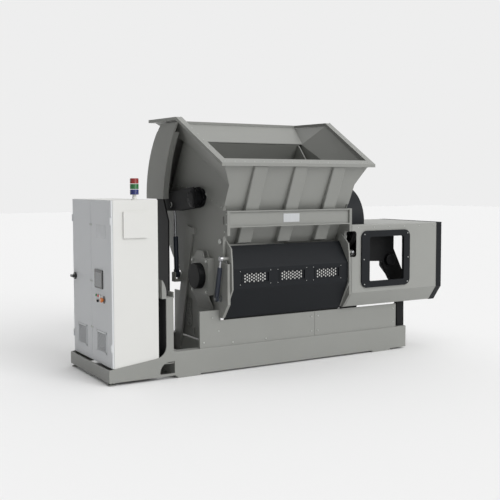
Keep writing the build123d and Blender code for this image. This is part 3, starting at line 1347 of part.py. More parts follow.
with BuildPart() as operator_panel:
    with BuildSketch(side(CABINET_LEFT - 12)):
        with Locations((PANEL_Y, PANEL_Z)):
            RectangleRounded(268, 228, 8)
    extrude(amount=12)
    fillet(operator_panel.faces().sort_by(Axis.X)[0].edges(), 3)
finish(operator_panel.part, "operator_panel")

# ---------------------------------------------------------------- operating elements
BUTTON_R = 16
BUTTON_TRAVEL = 4
upper_row = 1036
lower_row = 972


def push_button(y, z):
    """Cap of a push button, clear of the door."""
    with BuildPart() as button:
        with BuildSketch(side(CABINET_LEFT - 14)):
            with Locations((y, z)):
                Circle(BUTTON_R)
        extrude(amount=14 - BUTTON_TRAVEL - 0.5)
        fillet(button.faces().sort_by(Axis.X)[0].edges(), 2)
    return button.part


finish(push_button(-180, upper_row), "start_button")
finish(push_button(-244, upper_row), "stop_button")
finish(push_button(-308, upper_row), "ram_button")
finish(push_button(-180, lower_row), "flap_button")

with BuildPart() as mode_switch:
    with BuildSketch(side(CABINET_LEFT - 12)):
        with Locations((-244, lower_row)):
            Circle(BUTTON_R)
    extrude(amount=11)
    with BuildSketch(side(CABINET_LEFT - 26)):
        with Locations((-244, lower_row)):
            SlotOverall(31, 11, rotation=60)
    extrude(amount=14)
finish(mode_switch.part, "mode_switch")

with BuildPart() as emergency_stop:
    with BuildSketch(side(CABINET_LEFT - 46)):
        with Locations((-428, 1004)):
            Circle(30)
    extrude(amount=20)
    fillet(emergency_stop.faces().sort_by(Axis.X)[0].edges(), 7)
    with BuildSketch(side(CABINET_LEFT - 26)):
        with Locations((-428, 1004)):
            Circle(14)
    extrude(amount=19)
finish(emergency_stop.part, "emergency_stop")

with BuildPart() as main_switch:
    with BuildSketch(side(CABINET_LEFT - 22)):
        with Locations((584, 1206)):
            Circle(44)
    extrude(amount=21)
    with BuildSketch(side(CABINET_LEFT - 60)):
        with Locations((584, 1206)):
            SlotOverall(104, 34)
    extrude(amount=38)
    fillet(main_switch.faces().sort_by(Axis.X)[0].edges(), 6)
finish(main_switch.part, "main_switch")

TOWER_X = -2164
TOWER_Y = -500

with BuildPart() as signal_tower:
    with BuildSketch(Plane.XY.offset(CABINET_TOP)):
        with Locations((TOWER_X, TOWER_Y)):
            Circle(26)
    extrude(amount=62)
    with BuildSketch(Plane.XY.offset(CABINET_TOP + 62)):
        with Locations((TOWER_X, TOWER_Y)):
            Circle(53)
    extrude(amount=206)
    fillet(signal_tower.edges().group_by(Axis.Z)[-1], 6)
finish(signal_tower.part, "signal_tower")
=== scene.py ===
import math

import bpy
import numpy as np
from mathutils import Matrix


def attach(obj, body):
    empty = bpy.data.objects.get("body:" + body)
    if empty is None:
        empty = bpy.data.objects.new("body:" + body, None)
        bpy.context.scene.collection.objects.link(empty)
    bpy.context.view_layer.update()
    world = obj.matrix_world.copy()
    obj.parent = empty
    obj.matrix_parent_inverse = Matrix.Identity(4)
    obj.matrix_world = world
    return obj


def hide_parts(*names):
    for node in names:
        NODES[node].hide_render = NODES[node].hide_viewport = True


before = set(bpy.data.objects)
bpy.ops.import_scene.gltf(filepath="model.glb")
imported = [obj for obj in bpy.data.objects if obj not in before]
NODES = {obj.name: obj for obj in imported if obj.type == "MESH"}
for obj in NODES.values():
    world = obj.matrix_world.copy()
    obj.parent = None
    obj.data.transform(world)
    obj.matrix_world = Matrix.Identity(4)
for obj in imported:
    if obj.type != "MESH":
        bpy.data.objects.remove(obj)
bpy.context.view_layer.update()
BODY = "machine"

# ---------------------------------------------------------------- stage
# A pale studio floor under one soft key from the front and an even sky.
# The camera stands at the left front corner, a little below the hopper's rim.


def linear(value):
    """Linear value of one sRGB channel from 0 to 1."""
    return value / 12.92 if value <= 0.04045 else ((value + 0.055) / 1.055) ** 2.4


def colour(code):
    """Linear RGBA of an sRGB hex colour."""
    return tuple(linear(int(code[k:k + 2], 16) / 255) for k in (1, 3, 5)) + (1.0,)


def add(tree, kind, inputs=None, **settings):
    """Adds a node with its settings; an input is a value or the socket that feeds it."""
    node = tree.nodes.new(kind)
    for key, value in settings.items():
        setattr(node, key, value)
    for key, value in (inputs or {}).items():
        if isinstance(value, bpy.types.NodeSocket):
            tree.links.new(value, node.inputs[key])
        else:
            node.inputs[key].default_value = value
    return node


def blank(name):
    """A new node material, its tree and its output node."""
    material = bpy.data.materials.new(name)
    material.use_nodes = True
    tree = material.node_tree
    tree.nodes.clear()
    return material, tree, tree.nodes.new("ShaderNodeOutputMaterial")


FLOOR_HALF = 60.0
floor_mesh = bpy.data.meshes.new("floor")
floor_mesh.from_pydata([(-FLOOR_HALF, -FLOOR_HALF, -0.001), (FLOOR_HALF, -FLOOR_HALF, -0.001),
                        (FLOOR_HALF, FLOOR_HALF, -0.001), (-FLOOR_HALF, FLOOR_HALF, -0.001)],
                       [], [(0, 1, 2, 3)])
floor = bpy.data.objects.new("floor", floor_mesh)
bpy.context.scene.collection.objects.link(floor)
floor_paint, tree, output = blank("studio_floor_paint")
shade = add(tree, "ShaderNodeBsdfPrincipled", {"Base Color": colour("#EEEEEE"), "Roughness": 0.95,
                                               "Specular IOR Level": 0.0})
tree.links.new(shade.outputs[0], output.inputs[0])
floor_mesh.materials.append(floor_paint)

# The sky is even behind and in front of the machine and dimmer on its left, which models the left
# faces darker than the front ones.
world = bpy.data.worlds.new("sky")
bpy.context.scene.world = world
world.use_nodes = True
sky = world.node_tree
heading = add(sky, "ShaderNodeSeparateXYZ", {"Vector": add(sky, "ShaderNodeTexCoord").outputs["Generated"]})
lifted = add(sky, "ShaderNodeMath", {0: heading.outputs["Z"], 1: 0.5, 2: heading.outputs["X"]},
             operation="MULTIPLY_ADD")
dimming = add(sky, "ShaderNodeMapRange", {"Value": lifted.outputs[0], "From Min": -0.45, "From Max": 0.10,
                                          "To Min": 0.07, "To Max": 0.855}, interpolation_type="SMOOTHSTEP")
background = sky.nodes["Background"]
background.inputs[0].default_value = (1.0, 1.0, 1.0, 1.0)
sky.links.new(dimming.outputs[0], background.inputs[1])
bpy.context.scene.view_settings.view_transform = "Standard"


def sun(name, strength, softness, tilt, turn):
    """A distant light; tilt is its angle from straight down, turn its heading, both in degrees."""
    data = bpy.data.lights.new(name, "SUN")
    data.energy = strength
    data.angle = math.radians(softness)
    light = bpy.data.objects.new(name, data)
    light.rotation_euler = (math.radians(tilt), 0, math.radians(turn))
    bpy.context.scene.collection.objects.link(light)


sun("key", 1.25, 38, 55, 20)
sun("overhead", 0.40, 50, 8, 0)

YAW = math.radians(30.95)
PITCH = math.radians(3.82)
camera_data = bpy.data.cameras.new("camera")
camera_data.lens = 60.5
camera_data.sensor_width = 36.0
camera_data.shift_x = -0.0066
camera_data.shift_y = -0.0202
camera = bpy.data.objects.new("camera", camera_data)
camera.location = (-6.175, -9.995, 2.400)
camera.rotation_euler = (math.pi / 2 - PITCH, math.radians(0.1), -YAW)
bpy.context.scene.collection.objects.link(camera)
bpy.context.scene.camera = camera


# ---------------------------------------------------------------- finishes
# Powder coat: a baked polyester film, satin, with a fine orange peel.  Faint broad clouding and a
# difference in gloss keep large sheets from looking flat.
MIX_FROM = 6    # places of the two colours among a mix node's inputs
MIX_TO = 7


def powder_coat(name, code, roughness=0.42, peel=0.12, cloud=0.05, gloss=0.5):
    """Satin powder coat; the peel is drawn 5 mm wide because the real 1 mm one would not show."""
    material, tree, output = blank(name)
    place = add(tree, "ShaderNodeTexCoord").outputs["Object"]
    clouding = add(tree, "ShaderNodeTexNoise", {"Vector": place, "Scale": 1.4, "Detail": 4.0})
    specks = add(tree, "ShaderNodeTexNoise", {"Vector": place, "Scale": 60.0, "Detail": 2.0})
    base = colour(code)
    light = tuple(min(1.0, c * (1 + cloud)) for c in base[:3]) + (1.0,)
    dark = tuple(c * (1 - 1.4 * cloud) for c in base[:3]) + (1.0,)
    tone = add(tree, "ShaderNodeMix", {"Factor": clouding.outputs[0], MIX_FROM: dark, MIX_TO: light},
               data_type="RGBA")
    wear = add(tree, "ShaderNodeMapRange", {"Value": specks.outputs[0], "To Min": roughness - 0.05,
                                            "To Max": roughness + 0.07})
    film = add(tree, "ShaderNodeTexNoise", {"Vector": place, "Scale": 200.0, "Detail": 1.0})
    bump = add(tree, "ShaderNodeBump", {"Strength": peel, "Distance": 0.0006, "Height": film.outputs[0]})
    shade = add(tree, "ShaderNodeBsdfPrincipled", {
        "Base Color": tone.outputs[2], "Roughness": wear.outputs[0], "Normal": bump.outputs[0],
        "Specular IOR Level": gloss})
    tree.links.new(shade.outputs[0], output.inputs[0])
    return material


def worked_steel(name, code, roughness=0.3, stretch=(1.0, 60.0, 60.0), metallic=1.0):
    """Bare metal; lathe or brush marks are noise drawn out along the uncut direction."""
    material, tree, output = blank(name)
    place = add(tree, "ShaderNodeTexCoord").outputs["Object"]
    grain = add(tree, "ShaderNodeMapping", {"Vector": place, "Scale": stretch})
    marks = add(tree, "ShaderNodeTexNoise", {"Vector": grain.outputs[0], "Scale": 4.0, "Detail": 3.0})
    base = colour(code)
    light = tuple(min(1.0, 1.12 * c) for c in base[:3]) + (1.0,)
    dark = tuple(0.82 * c for c in base[:3]) + (1.0,)
    tone = add(tree, "ShaderNodeMix", {"Factor": marks.outputs[0], MIX_FROM: dark, MIX_TO: light},
               data_type="RGBA")
    wear = add(tree, "ShaderNodeMapRange", {"Value": marks.outputs[0], "To Min": roughness - 0.08,
                                            "To Max": roughness + 0.1})
    bump = add(tree, "ShaderNodeBump", {"Strength": 0.15, "Distance": 0.0004, "Height": marks.outputs[0]})
    shade = add(tree, "ShaderNodeBsdfPrincipled", {
        "Base Color": tone.outputs[2], "Metallic": metallic, "Roughness": wear.outputs[0],
        "Normal": bump.outputs[0]})
    tree.links.new(shade.outputs[0], output.inputs[0])
    return material


def moulded_plastic(name, code, roughness=0.3, glow=0.0, coat=0.0):
    """Moulded plastic with a very light grain; lamp covers also glow a little, and a glow on a part that is
    no lamp is painted light.
    """
    material, tree, output = blank(name)
    place = add(tree, "ShaderNodeTexCoord").outputs["Object"]
    grain = add(tree, "ShaderNodeTexNoise", {"Vector": place, "Scale": 260.0, "Detail": 2.0})
    wear = add(tree, "ShaderNodeMapRange", {"Value": grain.outputs[0], "To Min": roughness - 0.04,
                                            "To Max": roughness + 0.06})
    bump = add(tree, "ShaderNodeBump", {"Strength": 0.08, "Distance": 0.0003, "Height": grain.outputs[0]})
    shade = add(tree, "ShaderNodeBsdfPrincipled", {
        "Base Color": colour(code), "Roughness": wear.outputs[0], "Normal": bump.outputs[0],
        "Coat Weight": coat, "IOR": 1.49})
    if glow:
        shade.inputs["Emission Color"].default_value = colour(code)
        shade.inputs["Emission Strength"].default_value = glow
    tree.links.new(shade.outputs[0], output.inputs[0])
    return material


grey_coat = powder_coat("grey_powder_coat", "#8E8F8B")
plate_coat = powder_coat("side_plate_powder_coat", "#888985", roughness=0.46)
guard_coat = powder_coat("guard_powder_coat", "#979894", roughness=0.45)
charcoal_coat = powder_coat("charcoal_powder_coat", "#14171B", roughness=0.48, cloud=0.08, gloss=0.22)
black_coat = powder_coat("black_powder_coat", "#0C0D0F", roughness=0.45, cloud=0.1, gloss=0.22)
blue_paint = powder_coat("dark_blue_cylinder_paint", "#1E2532", roughness=0.35)
cabinet_coat = powder_coat("cabinet_textured_coat", "#D9D9D6", roughness=0.55, peel=0.25, cloud=0.02)
door_coat = powder_coat("door_textured_coat", "#D2D4D6", roughness=0.55, peel=0.25, cloud=0.03)
zinc = worked_steel("zinc_plated_bolt_steel", "#C9CBC8", 0.32, (30.0, 30.0, 30.0))
turned_steel = worked_steel("turned_shaft_steel", "#A9ABAD", 0.28, (90.0, 3.0, 3.0))
ground_steel = worked_steel("ground_knife_steel", "#C2C4C6", 0.25)
sheet_steel = worked_steel("bare_sheet_steel", "#8E9092", 0.4, (3.0, 60.0, 3.0))
hard_chrome = worked_steel("hard_chrome_rod", "#B9BABD", 0.16, (20.0, 20.0, 2.0))
cast_iron = worked_steel("turned_cast_iron", "#5C5E60", 0.42, (60.0, 3.0, 3.0), 0.8)
rubber = moulded_plastic("ribbed_belt_rubber", "#1B1B1B", 0.7)
black_plastic = moulded_plastic("black_moulded_plastic", "#17181A", 0.28, coat=0.3)
# The red stop button is no lamp: its faint glow is painted light that keeps its red bright.
red_plastic = moulded_plastic("red_button_plastic", "#C21A12", 0.25, glow=0.12, coat=0.4)
orange_plastic = moulded_plastic("orange_stop_plastic", "#D9772B", 0.3, coat=0.4)
green_plastic = moulded_plastic("green_button_plastic", "#1D8A3A", 0.25, coat=0.4)
white_plastic = moulded_plastic("white_button_plastic", "#E4E4DF", 0.25, coat=0.4)
label_foil = worked_steel("plain_label_foil", "#C8CACC", 0.35, (40.0, 2.0, 2.0), 0.7)

GREY = ("base_frame", "foot_plates", "cabinet_plinth", "lower_front_sheets", "lower_side_walls",
        "frame_leg", "hopper_walls", "hopper_ribs", "hopper_rim", "ram_housing_sides",
        "ram_housing_cover", "chamber_floor", "bearing_housings", "flap_ears", "cross_beam",
        "ram_shell", "ram_cylinder_bracket")
CHARCOAL = ("flap_sheet", "flap_mesh", "belt_hood", "guard_window_frame", "guard_end_trim")
# ram_housing_post takes the black coat as painted shade: the black stands for the deep shade over the
# housing's lower rear.
BLACK_AND_PAINTED_SHADE = ("bearing_cap", "motor_console", "ram_lever", "ram_housing_post", "hydraulic_tank", "gearbox",
         "motor", "pump_motor", "ram_bearing_flanges")
FINISHES = (
    (grey_coat, GREY), (charcoal_coat, CHARCOAL), (black_coat, BLACK_AND_PAINTED_SHADE),
    (plate_coat, ("side_plate_left", "side_plate_right")), (guard_coat, ("guard_box",)),
    (blue_paint, ("ram_cylinder_barrel", "flap_cylinder_barrels")),
    (hard_chrome, ("ram_cylinder_rod", "flap_cylinder_rods")),
    (turned_steel, ("rotor_drum", "rotor_shaft", "ram_shaft", "flap_cylinder_pins")),
    (sheet_steel, ("screen",)), (ground_steel, ("rotor_knives", "counter_knife")),
    (cast_iron, ("driven_pulley", "motor_pulley")), (rubber, ("drive_belts",)),
    (cabinet_coat, ("cabinet_shell",)), (door_coat, ("cabinet_door_front", "cabinet_door_rear")),
    (black_plastic, ("operator_panel", "mode_switch", "main_switch")),
    (orange_plastic, ("emergency_stop",)), (red_plastic, ("stop_button",)),
    (green_plastic, ("start_button",)),
    (white_plastic, ("ram_button", "flap_button")),
)
for finish, names in FINISHES:
    for name in names:
        NODES[name].data.materials.clear()
        NODES[name].data.materials.append(finish)


# ---------------------------------------------------------------- side plates and bearings
# Zinc-plated hexagon bolts hold the bearing housings, the ram's flanges, the hopper and the
# floor sheet to the flame-cut side plates.

LEFT = -1.091
RIGHT = 0.848
ROTOR_AT = (-0.300, 1.209)
PIVOT_AT = (-0.210, 2.222)
HUB_FACE = -1.240
OUT_LEFT = (-1, 0, 0)
OUT_RIGHT = (1, 0, 0)
OUT_FRONT = (0, -1, 0)
UP = (0, 0, 1)
BOX_SIDES = [(0, 3, 2, 1), (4, 5, 6, 7), (0, 1, 5, 4), (1, 2, 6, 5), (2, 3, 7, 6), (3, 0, 4, 7)]


def piece(name, points, faces, material, body=BODY, bevel=0.0, smooth=False):
    """One object from points and faces, riding on a body, with its material and slot."""
    mesh = bpy.data.meshes.new(name)
    mesh.from_pydata(np.asarray(points, float).tolist(), [], faces)
    mesh.update()
    if smooth:
        mesh.polygons.foreach_set("use_smooth", [len(p.vertices) == 4 for p in mesh.polygons])
    mesh.materials.append(material)
    made = bpy.data.objects.new(name, mesh)
    bpy.context.scene.collection.objects.link(made)
    if bevel:
        rounding = made.modifiers.new("edge", "BEVEL")
        rounding.width = bevel
        rounding.segments = 2
        rounding.limit_method = "ANGLE"
    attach(made, body)
    return made


def boxes(name, spans, material, body=BODY, bevel=0.001):
    """Upright boxes, each given by its low and its high corner."""
    unit = np.array([(0, 0, 0), (1, 0, 0), (1, 1, 0), (0, 1, 0),
                     (0, 0, 1), (1, 0, 1), (1, 1, 1), (0, 1, 1)])
    low = np.array([s[0] for s in spans], float)[:, None]
    high = np.array([s[1] for s in spans], float)[:, None]
    points = (low + unit * (high - low)).reshape(-1, 3)
    faces = [tuple(8 * k + i for i in side) for k in range(len(spans)) for side in BOX_SIDES]
    return piece(name, points, faces, material, body, bevel)


def basis(direction):
    """Right-handed 3 x 3 frame whose third row is the direction."""
    third = np.array(direction, float) / np.linalg.norm(direction)
    helper = np.array((0, 0, 1.0)) if abs(third[2]) < 0.9 else np.array((1.0, 0, 0))
    first = np.cross(helper, third)
    first /= np.linalg.norm(first)
    return np.array((first, np.cross(third, first), third))


def turned(name, profile, sides, places, direction, material, body=BODY, smooth=True, closed=False):
    """A profile of (radius, height) turned about a direction at each place; a closed one is a ring."""
    profile = np.array(profile, float)
    places = np.array(places, float).reshape(-1, 3)
    angle = 2 * math.pi * np.arange(sides) / sides
    ring = np.stack((np.cos(angle), np.sin(angle)), 1)
    local = np.concatenate((profile[:, None, :1] * ring[None],
                            np.repeat(profile[:, None, 1:], sides, 1)), 2).reshape(-1, 3)
    points = (local @ basis(direction))[None] + places[:, None]
    rings = len(profile)
    faces = []
    for base in range(0, len(places) * rings * sides, rings * sides):
        for i in range(rings if closed else rings - 1):
            start = base + i * sides
            after = base + (i + 1) % rings * sides
            faces += [(start + j, start + (j + 1) % sides, after + (j + 1) % sides, after + j)
                      for j in range(sides)]
        if not closed:
            faces.append(tuple(range(base + (rings - 1) * sides, base + rings * sides)))
            faces.append(tuple(range(base + sides - 1, base - 1, -1)))
    return piece(name, points.reshape(-1, 3), faces, material, body, 0.0, smooth)


def hex_bolts(name, places, direction, size, material, body=BODY):
    """Washers and hexagon heads of one thread size, set on a surface."""
    washer = [(1.05 * size, 0), (1.05 * size, 0.16 * size), (0.98 * size, 0.2 * size)]
    head = [(0.9 * size, 0.2 * size), (0.9 * size, 0.75 * size), (0.74 * size, 0.86 * size)]
    turned(name + "_washers", washer, 20, places, direction, material, body)
    return turned(name + "_heads", head, 6, places, direction, material, body, smooth=False)


def circle_places(x, centre, radius, count, start=0.0):
    """Places round a circle in the plane of a side plate."""
    angle = start + 2 * math.pi * np.arange(count) / count
    across = centre[0] + radius * np.cos(angle)
    upward = centre[1] + radius * np.sin(angle)
    return np.stack((np.full(count, x), across, upward), 1)


def row(start, stop, count):
    """Evenly spaced places from start to stop, both ends included."""
    share = np.linspace(0, 1, count)[:, None]
    return np.array(start, float) + share * (np.array(stop, float) - np.array(start, float))


housing_face = LEFT - 0.088
corner = 0.196
housing_corners = [(housing_face, ROTOR_AT[0] + a * corner, ROTOR_AT[1] + b * corner)
                   for a in (-1, 1) for b in (-1, 1)]
hex_bolts("bearing_bolts", housing_corners, OUT_LEFT, 0.020, zinc)
hex_bolts("ram_flange_bolts", circle_places(LEFT - 0.026, PIVOT_AT, 0.096, 6), OUT_LEFT, 0.011, zinc)
turned("ram_hub_cap", [(0.120, 0), (0.120, 0.008), (0.108, 0.016), (0.04, 0.016)], 64,
       [(HUB_FACE, *PIVOT_AT)], OUT_LEFT, black_coat, "ram")
hex_bolts("ram_hub_bolts", circle_places(HUB_FACE - 0.016, PIVOT_AT, 0.082, 8), OUT_LEFT, 0.007, black_coat,
          "ram")
turned("lever_pin_head", [(0.036, 0), (0.036, 0.006), (0.030, 0.010)], 32, [(HUB_FACE, 0.415, 2.117)],
       OUT_LEFT, zinc, "ram")
tail = circle_places(LEFT, PIVOT_AT, 1.165, 40, 0.0)
tail = tail[(tail[:, 2] < 2.2) & (tail[:, 1] > 0.30)]
hex_bolts("floor_sheet_bolts_left", tail, OUT_LEFT, 0.010, zinc)
tail_right = tail.copy()
tail_right[:, 0] = RIGHT
hex_bolts("floor_sheet_bolts_right", tail_right, OUT_RIGHT, 0.010, zinc)
for label, x, out in (("left", LEFT, OUT_LEFT), ("right", RIGHT, OUT_RIGHT)):
    front_seam = row((x, -0.735, 2.110), (x, -0.360, 2.225), 4)
    rear_seam = row((x, -0.04, 2.325), (x, 0.66, 2.385), 6)
    hex_bolts("hopper_seam_bolts_" + label, np.concatenate((front_seam, rear_seam)), out, 0.010, zinc)
    beam_places = [(x, -0.868, 1.895), (x, -0.868, 2.023), (x, -0.82, 1.8)]
    hex_bolts("beam_bolts_" + label, beam_places, out, 0.010, zinc)

# ---------------------------------------------------------------- hopper rim
# Bolt heads about 140 mm apart stand on the rim's angle-section flange.  A 6 mm filler plate joins
# each sloping wall edge to the rim above it.
RIM_FRONT_Y = -1.057
RIM_PEAK_Y = -0.009
RIM_LEAN = (0, -0.5, 0.86)
FILLER = 0.006
bolt_row_y = RIM_FRONT_Y - 0.045
rim_bolts = row((-1.24, bolt_row_y, 2.672), (0.99, bolt_row_y, 2.672), 17)
left_run = row((-1.247, -1.03, 2.705), (-1.317, -0.06, 3.271), 8)
right_run = left_run * np.array((-1, 1, 1)) + np.array((LEFT + RIGHT, 0, 0))
hex_bolts("rim_bolts_front", rim_bolts, RIM_LEAN, 0.007, zinc)
hex_bolts("rim_bolts_left", left_run, RIM_LEAN, 0.007, zinc)
hex_bolts("rim_bolts_right", right_run, RIM_LEAN, 0.007, zinc)
for label, x_front, x_peak in (("left", LEFT - 0.119, LEFT - 0.189),
                               ("right", RIGHT + 0.113, RIGHT + 0.183)):
    near = np.array([(x_front, RIM_FRONT_Y - 0.070, 2.625), (x_front, RIM_FRONT_Y + 0.004, 2.612),
                     (x_peak, RIM_PEAK_Y, 3.222), (x_peak, RIM_PEAK_Y, 3.242)])
    piece("rim_filler_" + label, np.concatenate((near, near + (FILLER, 0, 0))), BOX_SIDES, grey_coat)

# ---------------------------------------------------------------- name plate and cleat bolt
# A blank plate of brushed aluminium, riveted at its corners to the middle of the cross beam, and the
# one large bolt of the cleat that ties the hopper to the left side plate.
MIDDLE = (LEFT + RIGHT) / 2
BEAM_FACE = -0.864
PLATE_FACE = BEAM_FACE - 0.004
PLATE_Z = 1.959
plate_span = ((MIDDLE - 0.125, PLATE_FACE, PLATE_Z - 0.055), (MIDDLE + 0.125, BEAM_FACE, PLATE_Z + 0.055))
boxes("name_plate", [plate_span], label_foil, bevel=0.0008)
rivets = [(MIDDLE + a * 0.113, PLATE_FACE, PLATE_Z + b * 0.043) for a in (-1, 1) for b in (-1, 1)]
turned("name_plate_rivets", [(0.004, 0), (0.0036, 0.0012), (0.0015, 0.0020)], 16, rivets, OUT_FRONT, zinc)
hex_bolts("hopper_cleat_bolt", [(LEFT, -0.321, 2.266)], OUT_LEFT, 0.016, zinc)

# ---------------------------------------------------------------- base and lower front
# Welded channel frame: anchor nuts on studs stand on the foot plates, and the front sheets are
# screwed on with large washers.
SHEET_FACE = -0.680
anchors = [(a * 1.535, b * 0.540, 0.024) for a in (-1, 1) for b in (-1, 1)]
hex_bolts("anchor_nuts", anchors, UP, 0.020, zinc)
turned("anchor_studs", [(0.010, 0), (0.010, 0.052), (0.008, 0.055)], 16, anchors, UP, zinc)
screw_places = [(-1.107, 0.529), (-1.197, 0.706), (-1.320, 0.40), (0.330, 0.60), (0.330, 0.40), (0.436, 0.40),
                (0.436, 0.60), (1.76, 0.40), (1.76, 0.60), (-0.40, 0.37), (-0.9, 0.37)]
sheet_screws = [(x, SHEET_FACE, z) for x, z in screw_places]
hex_bolts("front_sheet_bolts", sheet_screws, OUT_FRONT, 0.010, zinc)

# A slotted strip of folded sheet on the lower left wall carries cable ties.
STRIP_X = LEFT + 0.008
STRIP_LOW = 0.471
STRIP_HIGH = 0.846
strip_bars = [((STRIP_X, near, STRIP_LOW), (STRIP_X + 0.012, far, STRIP_HIGH))
              for near, far in ((0.146, 0.166), (0.202, 0.220), (0.257, 0.277))]
strip_bars += [((STRIP_X + 0.001, 0.148, z), (STRIP_X + 0.011, 0.275, z + 0.012))
               for z in np.arange(STRIP_LOW + 0.001, STRIP_HIGH, 0.0452)]
boxes("slotted_strip", strip_bars, grey_coat, bevel=0.0008)

# ---------------------------------------------------------------- front flap
# Bent charcoal sheet on two hinge pins.  Each of its three windows has a frame and corner screws, and
# a pale sheet behind the mesh is a painted highlight: through the holes it shows as bright spots on the dark
# mesh.
WINDOW_Z = 1.212
WINDOW_CENTRES = (-0.6815, -0.1215, 0.4385)
frames = []
for x in WINDOW_CENTRES:
    for side in (-1, 1):
        z = WINDOW_Z + side * 0.0645
        frames.append(((x - 0.205, -0.895, z - 0.006), (x + 0.205, -0.889, z + 0.006)))
        px = x + side * 0.200
        frames.append(((px - 0.006, -0.895, 1.150), (px + 0.006, -0.889, 1.274)))
boxes("flap_window_frames", frames, charcoal_coat, "flap", 0.0012)
# The pale sheet behind each mesh is a painted highlight that shows through the holes as bright spots.
painted_highlight_spans = [((x - 0.215, -0.8735, 1.130), (x + 0.215, -0.8715, 1.294)) for x in WINDOW_CENTRES]
boxes("flap_window_painted_highlight", painted_highlight_spans, cabinet_coat, "flap", 0.0004)
flap_screws = [(x + a * 0.225, -0.890, WINDOW_Z + b * 0.085)
               for x in WINDOW_CENTRES for a in (-1, 1) for b in (-1, 1)]
hex_bolts("flap_window_screws", flap_screws, OUT_FRONT, 0.005, zinc, body="flap")
for label, x, out in (("left", LEFT - 0.014, OUT_LEFT), ("right", RIGHT + 0.014, OUT_RIGHT)):
    turned("flap_hinge_cap_" + label, [(0.034, 0), (0.034, 0.006), (0.028, 0.010)], 32,
           [(x, -0.720, 1.675)], out, zinc, "flap")

# A rubber lip on the chamber closes the gap behind the flap's lower edge.
lip_span = ((-1.020, -0.662, 0.560), (0.777, -0.652, 0.720))
boxes("flap_sealing_lip", [lip_span], rubber, bevel=0.001)

# ---------------------------------------------------------------- belt guard
# Folded sheet guard: screws run under the top edge and round the black window frame.
GUARD_FACE = -0.890
FRAME_FACE = -0.912
OPENING_AT = (1.440, 1.359)
edge_screws = row((0.96, GUARD_FACE, 1.800), (2.33, GUARD_FACE, 1.800), 6)
hex_bolts("guard_edge_screws", edge_screws, OUT_FRONT, 0.008, zinc)
window_screws = [(OPENING_AT[0] + a * 0.385, FRAME_FACE, OPENING_AT[1] + b * 0.345)
                 for a in (-1, 1) for b in (-1, 1)]
window_screws += [(OPENING_AT[0] + a * 0.395, FRAME_FACE, OPENING_AT[1]) for a in (-1, 1)]
hex_bolts("window_frame_screws", window_screws, OUT_FRONT, 0.008, zinc)
boxes("guard_seam_strips", [((0.852, -0.893, 0.93), (0.866, -0.889, 1.38)),
                            ((0.852, -0.893, 1.77), (0.866, -0.889, 1.83))], guard_coat,
      bevel=0.0006)

# ---------------------------------------------------------------- control cabinet
# Powder-coated sheet cabinet with two doors: slatted grilles, quarter-turn locks, a dark touch
# screen, steel collars round the buttons, a black ring at the emergency stop and a plain label.
DOOR = -2.542


def grille(name, y, z, wide, tall, body):
    """A framed ventilation grille with level slats 16 mm apart."""
    rim = 0.018
    front, inner = DOOR - 0.008, DOOR + 0.003
    near, far = y - wide / 2, y + wide / 2
    low, high = z - tall / 2, z + tall / 2
    bars = [((front, near, low), (DOOR, far, low + rim)), ((front, near, high - rim), (DOOR, far, high)),
            ((front, near, low), (DOOR, near + rim, high)), ((front, far - rim, low), (DOOR, far, high))]
    bars += [((DOOR - 0.006, near + 0.01, height), (inner, far - 0.01, height + 0.009))
             for height in np.arange(low + 0.026, high - 0.024, 0.016)]
    return boxes(name, bars, door_coat, body, 0.001)


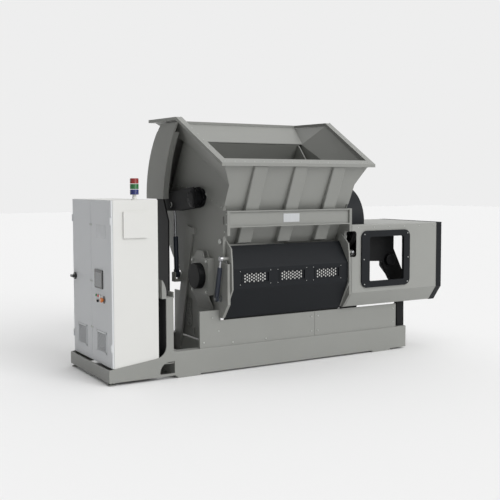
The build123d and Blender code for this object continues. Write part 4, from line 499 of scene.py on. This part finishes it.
grille("front_door_grille", -0.3445, 0.480, 0.330, 0.262, "front_door")
grille("rear_door_grille", 0.3345, 0.480, 0.330, 0.262, "rear_door")
lock_profile = [(0.015, 0), (0.015, 0.003), (0.013, 0.005), (0.007, 0.005), (0.007, 0.002)]
for label, body, y in (("front", "front_door", -0.030), ("rear", "rear_door", 0.020)):
    locks = [(DOOR, y, z) for z in (0.62, 1.20, 1.90)]
    turned(label + "_door_locks", lock_profile, 32, locks, OUT_LEFT, zinc, body)
label_span = ((DOOR - 0.0015, -0.510, 1.745), (DOOR, -0.188, 1.910))
boxes("plain_door_label", [label_span], label_foil, "front_door", 0.0005)
bezel_x = DOOR - 0.012
touch_glass, tree, output = blank("touch_panel_glass")
shade = add(tree, "ShaderNodeBsdfPrincipled", {"Base Color": colour("#0B1A22"), "Roughness": 0.06,
                                               "Coat Weight": 0.6, "IOR": 1.52})
tree.links.new(shade.outputs[0], output.inputs[0])
boxes("touch_screen", [((bezel_x - 0.0015, -0.382, 1.150), (bezel_x, -0.166, 1.326))], touch_glass,
      "front_door", 0.0004)
collar_places = [(DOOR, y, z) for y in (-0.180, -0.244, -0.308) for z in (1.036, 0.972)][:5]
collar_profile = [(0.0215, 0), (0.0215, 0.0025), (0.0175, 0.0035), (0.0165, 0.0035), (0.0165, 0)]
turned("button_collars", collar_profile, 32, collar_places, OUT_LEFT, zinc, "front_door",
       closed=True)
stop_profile = [(0.046, 0), (0.046, 0.002), (0.043, 0.003), (0.016, 0.003), (0.016, 0)]
turned("emergency_stop_plate", stop_profile, 48, [(DOOR, -0.428, 1.004)], OUT_LEFT, black_plastic,
       "front_door", closed=True)

# ---------------------------------------------------------------- signal tower
# Three ribbed lenses of coloured plastic stacked on a short light foot.
TOWER = (-2.164, -0.500)
foot_profile = [(0.040, 0), (0.040, 0.008), (0.024, 0.012), (0.024, 0.060), (0.050, 0.062)]
tower_foot = turned("signal_tower_foot", foot_profile, 40, [(*TOWER, 2.208)], UP, white_plastic)
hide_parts("signal_tower")
LENS = 0.0667         # height of one lens
LENSES_LOW = 2.270
for k, (label, code) in enumerate((("blue", "#1E2A6B"), ("green", "#1E6B34"), ("red", "#8E1A14"))):
    lens_plastic = moulded_plastic(label + "_lens_plastic", code, 0.2, glow=0.05, coat=0.5)
    low = 0.002
    profile = [(0.0500, low)]
    for rib in range(9):
        start = low + 0.004 + rib * 0.0062
        profile += [(0.0530, start), (0.0530, start + 0.0034), (0.0505, start + 0.0048)]
    profile.append((0.0500, LENS - 0.003))
    if k == 2:
        profile += [(0.047, LENS - 0.001), (0.030, LENS)]
    turned("signal_lens_" + label, profile, 48, [(*TOWER, LENSES_LOW + k * LENS)], UP, lens_plastic)
